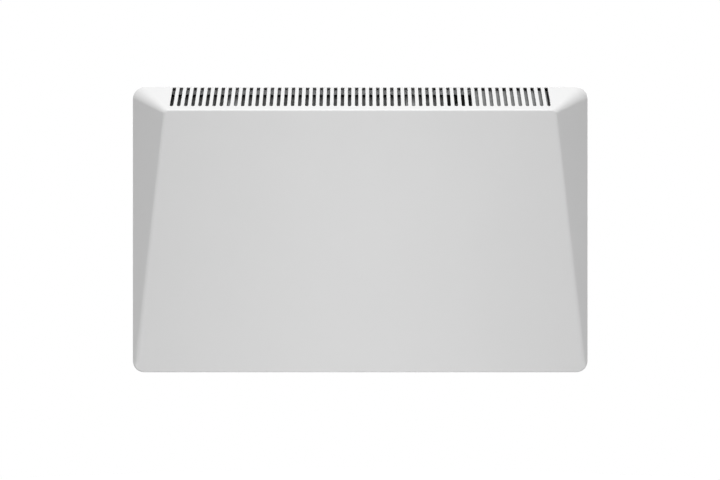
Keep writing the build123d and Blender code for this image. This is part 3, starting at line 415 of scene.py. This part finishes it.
# Control tub: a moulded recess in the underside, held by a flange behind the sheet.
# Textured ABS: the eye sees a pale matt grey with a fine spark-eroded grain.
abs_pale, place = new_material("textured_abs")
colour, normal = speckled(abs_pale, place, 0.35 * mm, "C9C9C7", "D3D3D1", 0.02 * mm)
finish(abs_pale, {"Roughness": 0.6}, {"Base Color": colour, "Normal": normal})
softened("control_tub", "moulded_tub", abs_pale, "heater", 0.3 * mm)


# Thermostat: a phenolic body that stands on the tub's floor, with a nutted bushing below
# it and two tabs on top; its brass shaft carries the dial.
tub_low, tub_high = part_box("control_tub")
tub_floor = tub_high.z
tab_length = 8 * mm
thermostat_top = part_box("thermostat")[1].z - tab_length
softened("thermostat", "boxed_thermostat",
         tabbed("thermostat_phenolic", "Z", (tub_floor + thermostat_top) / 2,
                (thermostat_top - tub_floor) / 2),
         "heater", 0.5 * mm)
softened("thermostat_nut", "bushing_nut", brass, "heater", 0.3 * mm)
softened("thermostat_shaft", "turned_shaft", brass, "dial", 0.3 * mm)


# Thermostat dial: a ribbed skirt with a grip bar across it, pressed on the shaft. A
# white line at one end of the bar points at the raised marks round it.
# Dark ABS: the eye sees a matt slate grey.
abs_dark, place = new_material("dark_abs")
colour, normal = speckled(abs_dark, place, 0.35 * mm, "4C4E50", "585A5C", 0.02 * mm)
finish(abs_dark, {"Roughness": 0.5}, {"Base Color": colour, "Normal": normal})
softened("thermostat_dial", "moulded_dial", abs_dark, "dial", 0.35 * mm)

dial_low, dial_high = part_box("thermostat_dial")
dial_x = (dial_low.x + dial_high.x) / 2
dial_y = (dial_low.y + dial_high.y) / 2
dial_radius = (dial_high.x - dial_low.x) / 2
grip = 4.5 * mm
rib_count = 40
rib_half = radians(2)
rib_proud = 0.35 * mm
rib_margin = 0.8 * mm
ribs = bmesh.new()
for rib in range(rib_count):
    middle = radians(360) * rib / rib_count
    outline = [Vector((dial_x + radius * cos(middle + turn), dial_y + radius * sin(middle + turn),
                       dial_low.z + grip + rib_margin))
               for radius, turn in ((dial_radius - rib_proud, -rib_half),
                                    (dial_radius + rib_proud, -rib_half / 2),
                                    (dial_radius + rib_proud, rib_half / 2),
                                    (dial_radius - rib_proud, rib_half))]
    prism(ribs, outline, Vector((0, 0, dial_high.z - dial_low.z - grip - 2 * rib_margin)))
ribs = new_piece(ribs, "dial_ribs", abs_dark, "dial")

# White ink: the eye sees a flat satin white, printed 0.1 mm proud.
ink, place = new_material("white_ink")
colour, normal = speckled(ink, place, 0.3 * mm, "E6E6E2", "F2F2EE", 0.005 * mm)
finish(ink, {"Roughness": 0.45}, {"Base Color": colour, "Normal": normal})
proud = 0.1 * mm
line_half = 0.4 * mm
line_length = 6.5 * mm
line_inset = 2.6 * mm
line_start = dial_x - dial_radius + line_inset
pointer = bmesh.new()
prism(pointer, [Vector((line_start + length, dial_y + across, dial_low.z + proud))
                for length, across in ((0, -line_half), (line_length, -line_half),
                                       (line_length, line_half), (0, line_half))],
      Vector((0, 0, -2 * proud)))
pointer = new_piece(pointer, "dial_pointer", ink, "dial")

# the marks follow the dial's turn from the pointer's place at rest, each a little longer
tub_recess = 15 * mm
tub_ceiling = tub_low.z + tub_recess
mark_count = 10
mark_turn = 30
mark_start = 13.2 * mm
mark_half = 0.35 * mm
mark_shortest = 0.5 * mm
mark_growth = 0.08 * mm
mark_height = 0.4 * mm
marks = bmesh.new()
for mark in range(mark_count):
    turn = radians(180 + mark_turn * mark)
    along = Vector((cos(turn), sin(turn), 0))
    across = Vector((-sin(turn), cos(turn), 0)) * mark_half
    start = Vector((dial_x, dial_y, tub_ceiling + proud)) + along * mark_start
    reach = along * (mark_shortest + mark_growth * mark)
    prism(marks, [start - across, start + across, start + reach + across, start + reach - across],
          Vector((0, 0, -mark_height)))
marks = new_piece(marks, "dial_marks", abs_dark, "heater")


# Rocker switch: a bezelled body snapped into the tub's floor, with three tabs on top,
# and a rocker on two pins in it, marked with a bar for on and a ring for off.
# Gloss nylon: the eye sees polished black with faint flow marks.
def gloss_black(name, tab_level):
    """Polished black nylon, with tinned tabs above a height."""
    material, place = new_material(name)
    colour, normal = speckled(material, place, 3 * mm, "0E0E10", "17171A", 0.01 * mm)
    tabs = add(material, "Math", {"operation": "GREATER_THAN", 1: tab_level},
               {0: positions(material)["Z"]})
    tipped = add(material, "Mix", {"data_type": "RGBA", "B": linear("B9B7B0")},
                 {"Factor": tabs.outputs[0], "A": colour})
    finish(material, {"Roughness": 0.22},
           {"Base Color": tipped.outputs["Result"], "Metallic": tabs.outputs[0], "Normal": normal})
    return material


switch_low, switch_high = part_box("switch_body")
black_nylon = gloss_black("gloss_nylon", switch_high.z - tab_length)
softened("switch_body", "bezelled_switch", black_nylon, "heater", 0.35 * mm)
softened("switch_rocker", "moulded_rocker", black_nylon, "rocker", 0.4 * mm)

switch_x = (switch_low.x + switch_high.x) / 2
switch_y = (switch_low.y + switch_high.y) / 2
rocker_swing = radians(20)
pin_rise = 3 * mm
rocker_axis = tub_ceiling + pin_rise
rocker_waist = 5 * mm
rocker_lip = 6.2 * mm
rocker_half = 7.5 * mm


def on_rocker(u, v, side, lift):
    """A point on one of the rocker's two faces, u along it from its waist and v across."""
    slope = Vector((side * rocker_half, rocker_waist - rocker_lip)).normalized()
    down = Vector((side * slope.y, -side * slope.x))
    x, z = slope * u + Vector((0, -rocker_waist)) + down * lift
    turn = rocker_swing / 2
    return Vector((switch_x + x * cos(turn) - z * sin(turn), switch_y + v,
                   rocker_axis + x * sin(turn) + z * cos(turn)))


mark_middle = 4.2 * mm
bar_half = 1.9 * mm
ring_outer = 1.9 * mm
ring_inner = 1.3 * mm
ring_steps = 24
symbols = bmesh.new()
bar = [on_rocker(mark_middle + u, v, -1, -proud)
       for u, v in ((-line_half, -bar_half), (line_half, -bar_half), (line_half, bar_half),
                    (-line_half, bar_half))]
prism(symbols, bar, on_rocker(0, 0, -1, proud) - on_rocker(0, 0, -1, -proud))
for step in range(ring_steps):
    ends = [2 * pi * (step + more) / ring_steps for more in (0, 1)]
    arc = [on_rocker(mark_middle + radius * cos(turn), radius * sin(turn), 1, -proud)
           for radius, turn in ((ring_inner, ends[0]), (ring_outer, ends[0]),
                                (ring_outer, ends[1]), (ring_inner, ends[1]))]
    prism(symbols, arc, on_rocker(0, 0, 1, proud) - on_rocker(0, 0, 1, -proud))
symbols = new_piece(symbols, "rocker_symbols", ink, "rocker")


# Pilot lamp: an amber lens on a black stem through the tub's floor, lit when heating.
# Amber acrylic: the eye sees a clear orange with depth, over the stem's black nylon.
lamp, place = new_material("amber_acrylic")
colour, normal = speckled(lamp, place, 1.5 * mm, "C8480A", "E06A12", 0.01 * mm)
stem = add(lamp, "Math", {"operation": "GREATER_THAN", 1: tub_ceiling + proud},
           {0: positions(lamp)["Z"]})
stemmed = add(lamp, "Mix", {"data_type": "RGBA", "B": linear("151517")},
              {"Factor": stem.outputs[0], "A": colour})
finish(lamp, {"Roughness": 0.15, "IOR": 1.49, "Subsurface Weight": 0.25,
              "Subsurface Scale": 1 * mm, "Coat Weight": 0.5},
       {"Base Color": stemmed.outputs["Result"], "Normal": normal})
softened("pilot_lamp", "domed_lamp", lamp, "heater", 0.4 * mm)


# Leads: round silicone-insulated wires from the lead-in terminals to the element, the
# cut-out, the thermostat and the switch, and one to the earth stud.
# Silicone rubber: the eye sees soft matt colour with a faint dusting.
def silicone(name, dark, light):
    """Silicone insulation between two shades."""
    material, place = new_material(name)
    colour, normal = speckled(material, place, 1.2 * mm, dark, light, 0.01 * mm)
    finish(material, {"Roughness": 0.55}, {"Base Color": colour, "Normal": normal})
    return material


silicone_brown = silicone("silicone_brown", "4E3424", "5C3F2C")
silicone_blue = silicone("silicone_blue", "27568F", "3165A3")
softened("lead_neutral", "wire_neutral", silicone_blue, "heater", 0.4 * mm)
for run in ("element", "cutout", "live", "switch"):
    softened(f"lead_{run}", f"wire_{run}", silicone_brown, "heater", 0.4 * mm)

# The earth lead's insulation is green with a yellow stripe that winds round it
striped, place = new_material("silicone_green_yellow")
band = add(striped, "TexWave", {"Scale": 1 / (3.2 * mm), "Distortion": 0.0}, {"Vector": place})
edge = add(striped, "Math", {"operation": "GREATER_THAN", 1: 0.62}, {0: band.outputs["Fac"]})
tone = add(striped, "TexNoise", {"Scale": 1 / (1.2 * mm)}, {"Vector": place})
green = add(striped, "Mix", {"data_type": "RGBA", "A": linear("2E7A3C"), "B": linear("368A46")},
            {"Factor": tone.outputs["Fac"]})
two = add(striped, "Mix", {"data_type": "RGBA", "B": linear("D8C02E")},
          {"Factor": edge.outputs[0], "A": green.outputs["Result"]})
finish(striped, {"Roughness": 0.55}, {"Base Color": two.outputs["Result"]})
softened("lead_earth", "wire_earth", striped, "heater", 0.4 * mm)


# Thermostat's bulb: a capillary from the thermostat to a copper bulb in the air inlet,
# clipped to the rear panel. Copper: the eye sees a dull pink metal, a little browned.
copper, place = new_material("dull_copper")
colour, normal = speckled(copper, place, 2 * mm, "8E5A42", "B27A5E", 0.01 * mm)
finish(copper, {"Metallic": 1.0, "Roughness": 0.42}, {"Base Color": colour, "Normal": normal})
softened("thermostat_bulb", "capillary_bulb", copper, "heater", 0.3 * mm)

# Zinc plate: the eye sees a bright bluish metal with fine rolling lines.
zinc_plate, place = new_material("zinc_plate")
rolled = add(zinc_plate, "Mapping", {"Scale": (1, 1, 0.05)}, {"Vector": place})
colour, normal = speckled(zinc_plate, rolled.outputs["Vector"], 0.2 * mm, "A9ADB2", "C3C7CB",
                          0.01 * mm)
finish(zinc_plate, {"Metallic": 1.0, "Roughness": 0.32}, {"Base Color": colour, "Normal": normal})
softened("bulb_clip", "spring_clip", zinc_plate, "heater", 0.2 * mm)


# Control box: a galvanised cover over the terminals and controls, its sloping top close
# under the outlet; a rubber grommet lets the leads through its left wall.
box_sheet = galvanised("galvanised_cover", "707171", "828383", 0.5, 0.65, 0.85)
softened("control_box", "folded_cover", box_sheet, "heater", 0.2 * mm)
softened("box_grommet", "moulded_grommet", rubber, "heater", 0.6 * mm)


# Front casing: one steel pressing with a slotted sloping top, two side facets and a
# return flange all round the back. It is welded at the corners and stove-enamelled white.
casing_low, casing_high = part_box("front_casing")
side = casing_high.x
top = casing_high.z
bottom = casing_low.z
casing_back = -casing_high.y
sheet = 1.0 * mm
rim_depth = 50 * mm
crown_depth = 108 * mm
foot_depth = 54.3 * mm
crown_drop = 38.8 * mm          # as in the photo, like the hip, the folds and the slots
face_margin = 54 * mm
corner_radius = 18 * mm
hip_radius = 6.4 * mm
fold_radius = 3 * mm
foot_fold = 1.2 * mm            # tighter, where the front turns under
side_brow = (7 * mm, 12 * mm)   # the side's soft front fold, at its top and its foot
brow_share = 0.8                # the most that this fold takes of a facet that runs out
back_radius = 1.5 * mm
back_steps = 3
fold_steps = 4
brow_steps = 6
only_steps = fold_steps + brow_steps + 4    # as many points as the two arcs and three stops
front_ring = 3 * mm             # a flat ring, which keeps the folds' shading off the front
flange = 12 * mm
foot_flange = 7 * mm
face_lean = (crown_depth - foot_depth) / (top - bottom - crown_drop)
facet_slope = face_margin / (crown_depth - rim_depth)
face_up = Vector((0, -face_lean, 1)).normalized()

slot_count = 54
slot_pitch = 10.56 * mm
slot_width = 5.3 * mm
slot_front_margin = 11.3 * mm
slot_rear_margin = 1.8 * mm
slot_land = 1.8 * mm            # a strip of sheet before the slots' front ends
slot_steps = 8
inlet_count = 44
inlet_first = -300 * mm
inlet_near = 21 * mm
inlet_far = 45 * mm
tub_gap = 0.3 * mm
tub_corner = 5.3 * mm
tub_margin = 3.5 * mm
tub_middle = (tub_low.x + tub_high.x) / 2
tub_half = (tub_high.x - tub_low.x) / 2 - tub_margin + tub_gap
tub_near = 12.4 * mm
tub_far = 45.6 * mm
tub_steps = 6
rim_rows = (tub_near, inlet_near, inlet_far, tub_far)


def face_depth(height):
    """Depth of the leaning front at a height."""
    return foot_depth + (height - bottom) * face_lean


def bend(corner, arriving, leaving, radius, steps):
    """Points of the arc that rounds a corner between two directions."""
    across = (leaving - arriving * leaving.dot(arriving)).normalized()
    turn = arriving.angle(leaving)
    start = corner - arriving * radius * tan(turn / 2)
    return [start + radius * (sin(turn * i / steps) * arriving
                              + (1 - cos(turn * i / steps)) * across)
            for i in range(steps + 1)]


forward = Vector((0, -1, 0))


def casing_column(rim, crown, edge, outward, rows=rim_rows, slot_end=None, brow_fold=fold_radius,
                  only_fold=fold_radius):
    """One line of points from the back flange over the rim to the front.

    rim, crown and edge are X and Z of the rim, of the crown above it and of the flange's
    inner edge. outward is the direction from the middle of the front, in its plane.
    rows are the depths of the rim's points, and slot_end is where an outlet slot ends.
    brow_fold rounds the facet's front edge, and only_fold the edge where it has run out.
    """
    inward = -(Vector((outward[0], 0, 0)) + face_up * outward[1])
    rim_start = rim_depth
    if rim[1] < bottom + corner_radius:
        rim_start += (side - abs(rim[0])) / facet_slope
    fold = Vector((rim[0], -min(rim_start, face_depth(rim[1])), rim[1]))
    peak = Vector((crown[0], -crown_depth, crown[1]))
    reach = (face_depth(fold.z) + fold.y) / ((crown_depth + fold.y) - (peak.z - fold.z) * face_lean)
    brow = fold + (peak - fold) * reach
    back = Vector((rim[0], -casing_back, rim[1]))
    inner = Vector((edge[0], -casing_back, edge[1]))
    points = [inner] + bend(back, (back - inner).normalized(), forward, back_radius, back_steps)
    points += [Vector((rim[0], -depth, rim[1])) for depth in rows]
    length = (brow - fold).length
    along = (peak - fold).normalized()
    fold_room = fold_radius * tan(forward.angle(along) / 2)
    brow_half = tan(along.angle(inward) / 2)
    brow_fold = min(brow_fold, brow_share * (length - fold_room) / brow_half)
    free = length - fold_room - brow_fold * brow_half
    if brow_fold > only_fold / 2:
        points += bend(fold, forward, along, fold_radius, fold_steps)
        if slot_end is None:
            stops = [fold_room + free * share for share in (0.25, 0.5, 0.75)]
        else:
            stops = [slot_rear_margin, length - slot_end, length - slot_front_margin + slot_land]
        points += [fold + along * stop for stop in stops]
        points += bend(brow, along, inward, brow_fold, brow_steps)
        room = brow_fold * brow_half
    else:
        # the facet has run out, so that one arc leads from the rim to the front
        corner = Vector((rim[0], -face_depth(rim[1]), rim[1]))
        points += bend(corner, forward, inward, only_fold, only_steps)
        room = only_fold * tan(forward.angle(inward) / 2)
        brow = corner
    points.append(brow + inward * (room + front_ring))
    return points


columns = []
holes = []
slot_radius = slot_width / 2
first_slot = -(slot_count - 1) / 2 * slot_pitch
for slot in range(slot_count):
    for step in range(slot_steps + 1):
        angle = pi * (step / slot_steps - 0.5)
        x = first_slot + slot * slot_pitch + slot_radius * sin(angle)
        end = slot_front_margin + slot_radius * (1 - cos(angle))
        columns.append(casing_column((x, top), (x, top - crown_drop), (x, top - flange),
                                     (0, 1), slot_end=end))
        holes.append("outlet" if step < slot_steps else None)
last_x = -first_slot + slot_radius


def side_columns():
    """The columns from the last outlet slot round the right side to the underside."""
    found = []
    arc_x = side - corner_radius
    crown_x = side - face_margin - hip_radius
    fan = 9
    for step in range(1, fan):
        share = step / fan
        x = last_x + (arc_x - last_x) * share
        crown = (last_x + (crown_x - last_x) * share, top - crown_drop)
        found.append(casing_column((x, top), crown, (x, top - flange), (0, 1)))
    arc = 14
    for step in range(arc + 1):
        turn = radians(90) * step / arc
        out = Vector((sin(turn), cos(turn)))
        centre = Vector((arc_x, top - corner_radius))
        crown_centre = Vector((crown_x, top - crown_drop - hip_radius))
        brow_fold = fold_radius + (side_brow[0] - fold_radius) * step / arc
        found.append(casing_column(centre + out * corner_radius, crown_centre + out * hip_radius,
                                   centre + out * (corner_radius - flange), out,
                                   brow_fold=brow_fold))
    sides = 24
    crown_z = top - crown_drop - hip_radius
    low_z = bottom + corner_radius
    for step in range(1, sides):
        share = step / sides
        z = top - corner_radius + (low_z - top + corner_radius) * share
        crown = (side - face_margin, crown_z + (low_z - crown_z) * share)
        brow_fold = side_brow[0] + (side_brow[1] - side_brow[0]) * share
        found.append(casing_column((side, z), crown, (side - flange, z), (1, 0),
                                   brow_fold=brow_fold))
    for step in range(arc + 1):
        turn = radians(90) * step / arc
        out = Vector((cos(turn), -sin(turn)))
        rim = Vector((arc_x, low_z)) + out * corner_radius
        edge = Vector((arc_x, bottom + foot_flange + corner_radius - flange))
        only_fold = fold_radius + (foot_fold - fold_radius) * step / arc
        found.append(casing_column(rim, (side - face_margin, rim.y),
                                   edge + out * (corner_radius - flange), out,
                                   brow_fold=side_brow[1], only_fold=only_fold))
    return found


def mirrored(points):
    """A column at the same place on the heater's other side."""
    return [Vector((-p.x, p.y, p.z)) for p in points]


right = side_columns()
columns += right
holes += [None] * len(right)

# the underside, from right to left: the tub's cut-out, then the inlet slots
under = []
for step in range(tub_steps + 1):
    turn = radians(90) * step / tub_steps
    x = tub_middle + tub_half - tub_corner + tub_corner * cos(turn)
    inset = tub_corner * (1 - sin(turn))
    under.append((x, inset))
under += [(2 * tub_middle - x, inset) for x, inset in reversed(under)]
for index, (x, inset) in enumerate(under):
    near = tub_near + inset
    far = tub_far - inset
    rows = (near, near + (far - near) / 3, far - (far - near) / 3, far)
    columns.append(casing_column((x, bottom), (x, bottom), (x, bottom + foot_flange), (0, -1), rows,
                                 only_fold=foot_fold))
    holes.append("tub" if index < len(under) - 1 else None)
for slot in reversed(range(inlet_count)):
    middle = inlet_first + slot * slot_pitch
    for x, hole in ((middle + slot_radius, "inlet"), (middle - slot_radius, None)):
        columns.append(casing_column((x, bottom), (x, bottom), (x, bottom + foot_flange), (0, -1),
                                     only_fold=foot_fold))
        holes.append(hole)
columns += [mirrored(points) for points in reversed(right)]
holes += [None] * len(right)

# the rows of faces that each kind of opening leaves out, counted from the flange's edge
hole_rows = {"outlet": (14,), "inlet": (6,), "tub": (5, 6, 7), None: ()}
casing_mesh = bmesh.new()
grid = [[casing_mesh.verts.new(p) for p in points] for points in columns]
for index, (first, hole) in enumerate(zip(grid, holes)):
    second = grid[(index + 1) % len(grid)]
    for row in range(len(first) - 1):
        if row not in hole_rows[hole]:
            casing_mesh.faces.new((first[row], second[row], second[row + 1], first[row + 1]))
casing_mesh.faces.new([line[-1] for line in grid])

# Stove enamel: sprayed and baked, satin white. The eye sees an even pale skin with a
# faint orange peel.
enamel, place = new_material("stove_enamel")
peel = add(enamel, "TexNoise", {"Scale": 1 / (1.6 * mm), "Detail": 2}, {"Vector": place})
cloud = add(enamel, "TexNoise", {"Scale": 1 / (120 * mm), "Detail": 2}, {"Vector": place})
white = add(enamel, "Mix", {"data_type": "RGBA", "A": linear("DDDDDD"), "B": linear("E0E0E0")},
            {"Factor": cloud.outputs["Fac"]})
relief = add(enamel, "Bump", {"Strength": 0.12, "Distance": 0.05 * mm},
             {"Height": peel.outputs["Fac"]})
finish(enamel, {"Roughness": 0.42, "IOR": 1.5},
       {"Base Color": white.outputs["Result"], "Normal": relief.outputs["Normal"]})

casing = new_piece(casing_mesh, "enamelled_casing", enamel, "heater")
if casing.data.polygons[-1].normal.y > 0:
    casing.data.flip_normals()
wall = casing.modifiers.new("sheet", "SOLIDIFY")
wall.thickness = sheet
wall.offset = -1
wall.use_even_offset = False
rounded(casing, 0.3 * mm, 50)
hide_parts("front_casing")


# Screws: ten alike, with a washer face and a dished hexagon head, zinc plated. Four hold
# the control box, and six hold the casing's back flange to the rear panel.
def ring(x, y, z, radius, sides):
    """A regular polygon about a centre, in a plane of one depth."""
    return [Vector((x + radius * cos(2 * pi * i / sides), y,
                    z + radius * sin(2 * pi * i / sides))) for i in range(sides)]


def hexagon_screw(shape, x, seat, z, away, shank):
    """A screw whose head stands on a seat at Y, away from it, with a shank behind."""
    prism(shape, ring(x, seat, z, washer_radius, 24), Vector((0, away * washer_face, 0)))
    cap = prism(shape, ring(x, seat + away * washer_face, z, head_radius, 6),
                Vector((0, away * (head_height - washer_face), 0)))
    bmesh.ops.inset_individual(shape, faces=[cap], thickness=dish_margin, depth=-dish_depth)
    if shank:
        prism(shape, ring(x, seat, z, shank_radius, 16), Vector((0, -away * shank, 0)))


washer_radius = 4.0 * mm
washer_face = 0.6 * mm
head_radius = 3.4 * mm
head_height = 2 * mm
dish_margin = 0.9 * mm
dish_depth = 0.5 * mm
shank_radius = 1.7 * mm
shank_length = 7.5 * mm
# from the solid heads' box to their middles: half a head across its corners and its flats
corner = 4.04 * mm
flat = 3.5 * mm
low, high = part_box("box_screws")
box_heads = bmesh.new()
for x in (low.x + corner, high.x - corner):
    for z in (low.z + flat, high.z - flat):
        hexagon_screw(box_heads, x, high.y, z, -1, 0)
piece = new_piece(box_heads, "cover_screws", zinc_plate, "heater")
rounded(piece, 0.15 * mm)
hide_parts("box_screws")

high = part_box("casing_screws")[1]
side_rise = 120 * mm
top_x = 300 * mm
flange_heads = bmesh.new()
for hand in (-1, 1):
    for x, z in ((high.x - corner, side_rise), (high.x - corner, -side_rise),
                 (top_x, high.z - flat)):
        hexagon_screw(flange_heads, hand * x, high.y - head_height, z, 1, shank_length)
piece = new_piece(flange_heads, "flange_screws", zinc_plate, "heater")
rounded(piece, 0.15 * mm)
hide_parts("casing_screws")


# Floor: a plain pale sheet, well below the heater, that keeps its shadow
floor_mesh = bmesh.new()
bmesh.ops.create_circle(floor_mesh, cap_ends=True, segments=96, radius=3.0)
floor = bpy.data.objects.new("floor", bpy.data.meshes.new("floor"))
floor_mesh.to_mesh(floor.data)
floor_mesh.free()
floor.location.z = -0.75
bpy.context.scene.collection.objects.link(floor)


def shows_white(owner):
    """1 for the rays that see the background: the camera's, and those off metal and glass."""
    seen = add(owner, "LightPath", {}, {})
    straight = larger(owner, seen.outputs["Is Camera Ray"], seen.outputs["Is Transmission Ray"])
    return larger(owner, straight, seen.outputs["Is Glossy Ray"])


paper = new_material("floor_paper")[0]
matt = add(paper, "BsdfDiffuse", {"Color": linear("8A8A8A")}, {})
glow = add(paper, "Emission", {"Strength": 0.75}, {})
lit = add(paper, "AddShader", {}, {0: matt.outputs["BSDF"], 1: glow.outputs["Emission"]})
shown = add(paper, "MixShader", {}, {0: shows_white(paper), 1: matt.outputs["BSDF"],
                                     2: lit.outputs["Shader"]})
behind = add(paper, "NewGeometry", {}, {})
clear = add(paper, "BsdfTransparent", {}, {})
sided = add(paper, "MixShader", {}, {0: behind.outputs["Backfacing"], 1: shown.outputs["Shader"],
                                     2: clear.outputs["BSDF"]})
add(paper, "OutputMaterial", {}, {"Surface": sided.outputs["Shader"]})
floor.data.materials.append(paper)
floor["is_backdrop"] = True

# Studio: a white background, which lights the object only dimly, and soft lamps
world = bpy.data.worlds.new("studio")
bpy.context.scene.world = world
world.use_nodes = True
world.node_tree.nodes.clear()
white = add(world, "Background", {"Strength": 1.0, "Color": linear("FFFFFF")}, {})
fill = add(world, "Background", {"Strength": 0.12, "Color": linear("FFFFFF")}, {})
backdrop = add(world, "MixShader", {}, {0: shows_white(world), 1: fill.outputs["Background"],
                                        2: white.outputs["Background"]})
add(world, "OutputWorld", {}, {"Surface": backdrop.outputs["Shader"]})


def sun(name, towards, strength, spread):
    """A soft distant lamp that shines along a direction."""
    lamp = bpy.data.lights.new(name, "SUN")
    lamp.energy = strength
    lamp.angle = radians(spread)
    holder = bpy.data.objects.new(name, lamp)
    holder.rotation_mode = "QUATERNION"
    holder.rotation_quaternion = Vector(towards).to_track_quat("-Z", "Y")
    bpy.context.scene.collection.objects.link(holder)


sun("key", (0, 0.5, -0.87), 3.2, 50)
sun("back_left", (0.2, -0.95, -0.2), 0.9, 40)
sun("back_right", (-0.2, -0.95, -0.2), 0.9, 40)


def softbox(name, width, height, strength, place, tilt):
    """A flat rectangular lamp that only the object sees, tilted about X from facing down."""
    lamp = bpy.data.lights.new(name, "AREA")
    lamp.shape = "RECTANGLE"
    lamp.size = width
    lamp.size_y = height
    lamp.energy = strength
    holder = bpy.data.objects.new(name, lamp)
    holder.location = place
    holder.rotation_euler.x = radians(tilt)
    holder.visible_camera = False
    bpy.context.scene.collection.objects.link(holder)


# a narrow box before the front, which lights its middle more than its sides, a wide one
# level with the outlet, whose light reaches through the slots, and one on the floor
softbox("narrow", 0.3, 0.9, 0.92, (0, -0.75, 0), 90)
softbox("level", 1.2, 0.5, 1.46, (0, -1.4, 0.12), 90)
softbox("bounce", 0.5, 1.0, 1.3, (0, -0.25, -0.73), 180)

camera = bpy.data.cameras.new("camera")
camera.lens = 90.5
camera.sensor_width = 36
holder = bpy.data.objects.new("camera", camera)
holder.location = (-0.3 * mm, -2.78, -0.0158)
holder.rotation_euler = (radians(90), 0, 0)
bpy.context.scene.collection.objects.link(holder)
bpy.context.scene.camera = holder
bpy.context.scene.view_settings.view_transform = "Standard"

low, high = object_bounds()
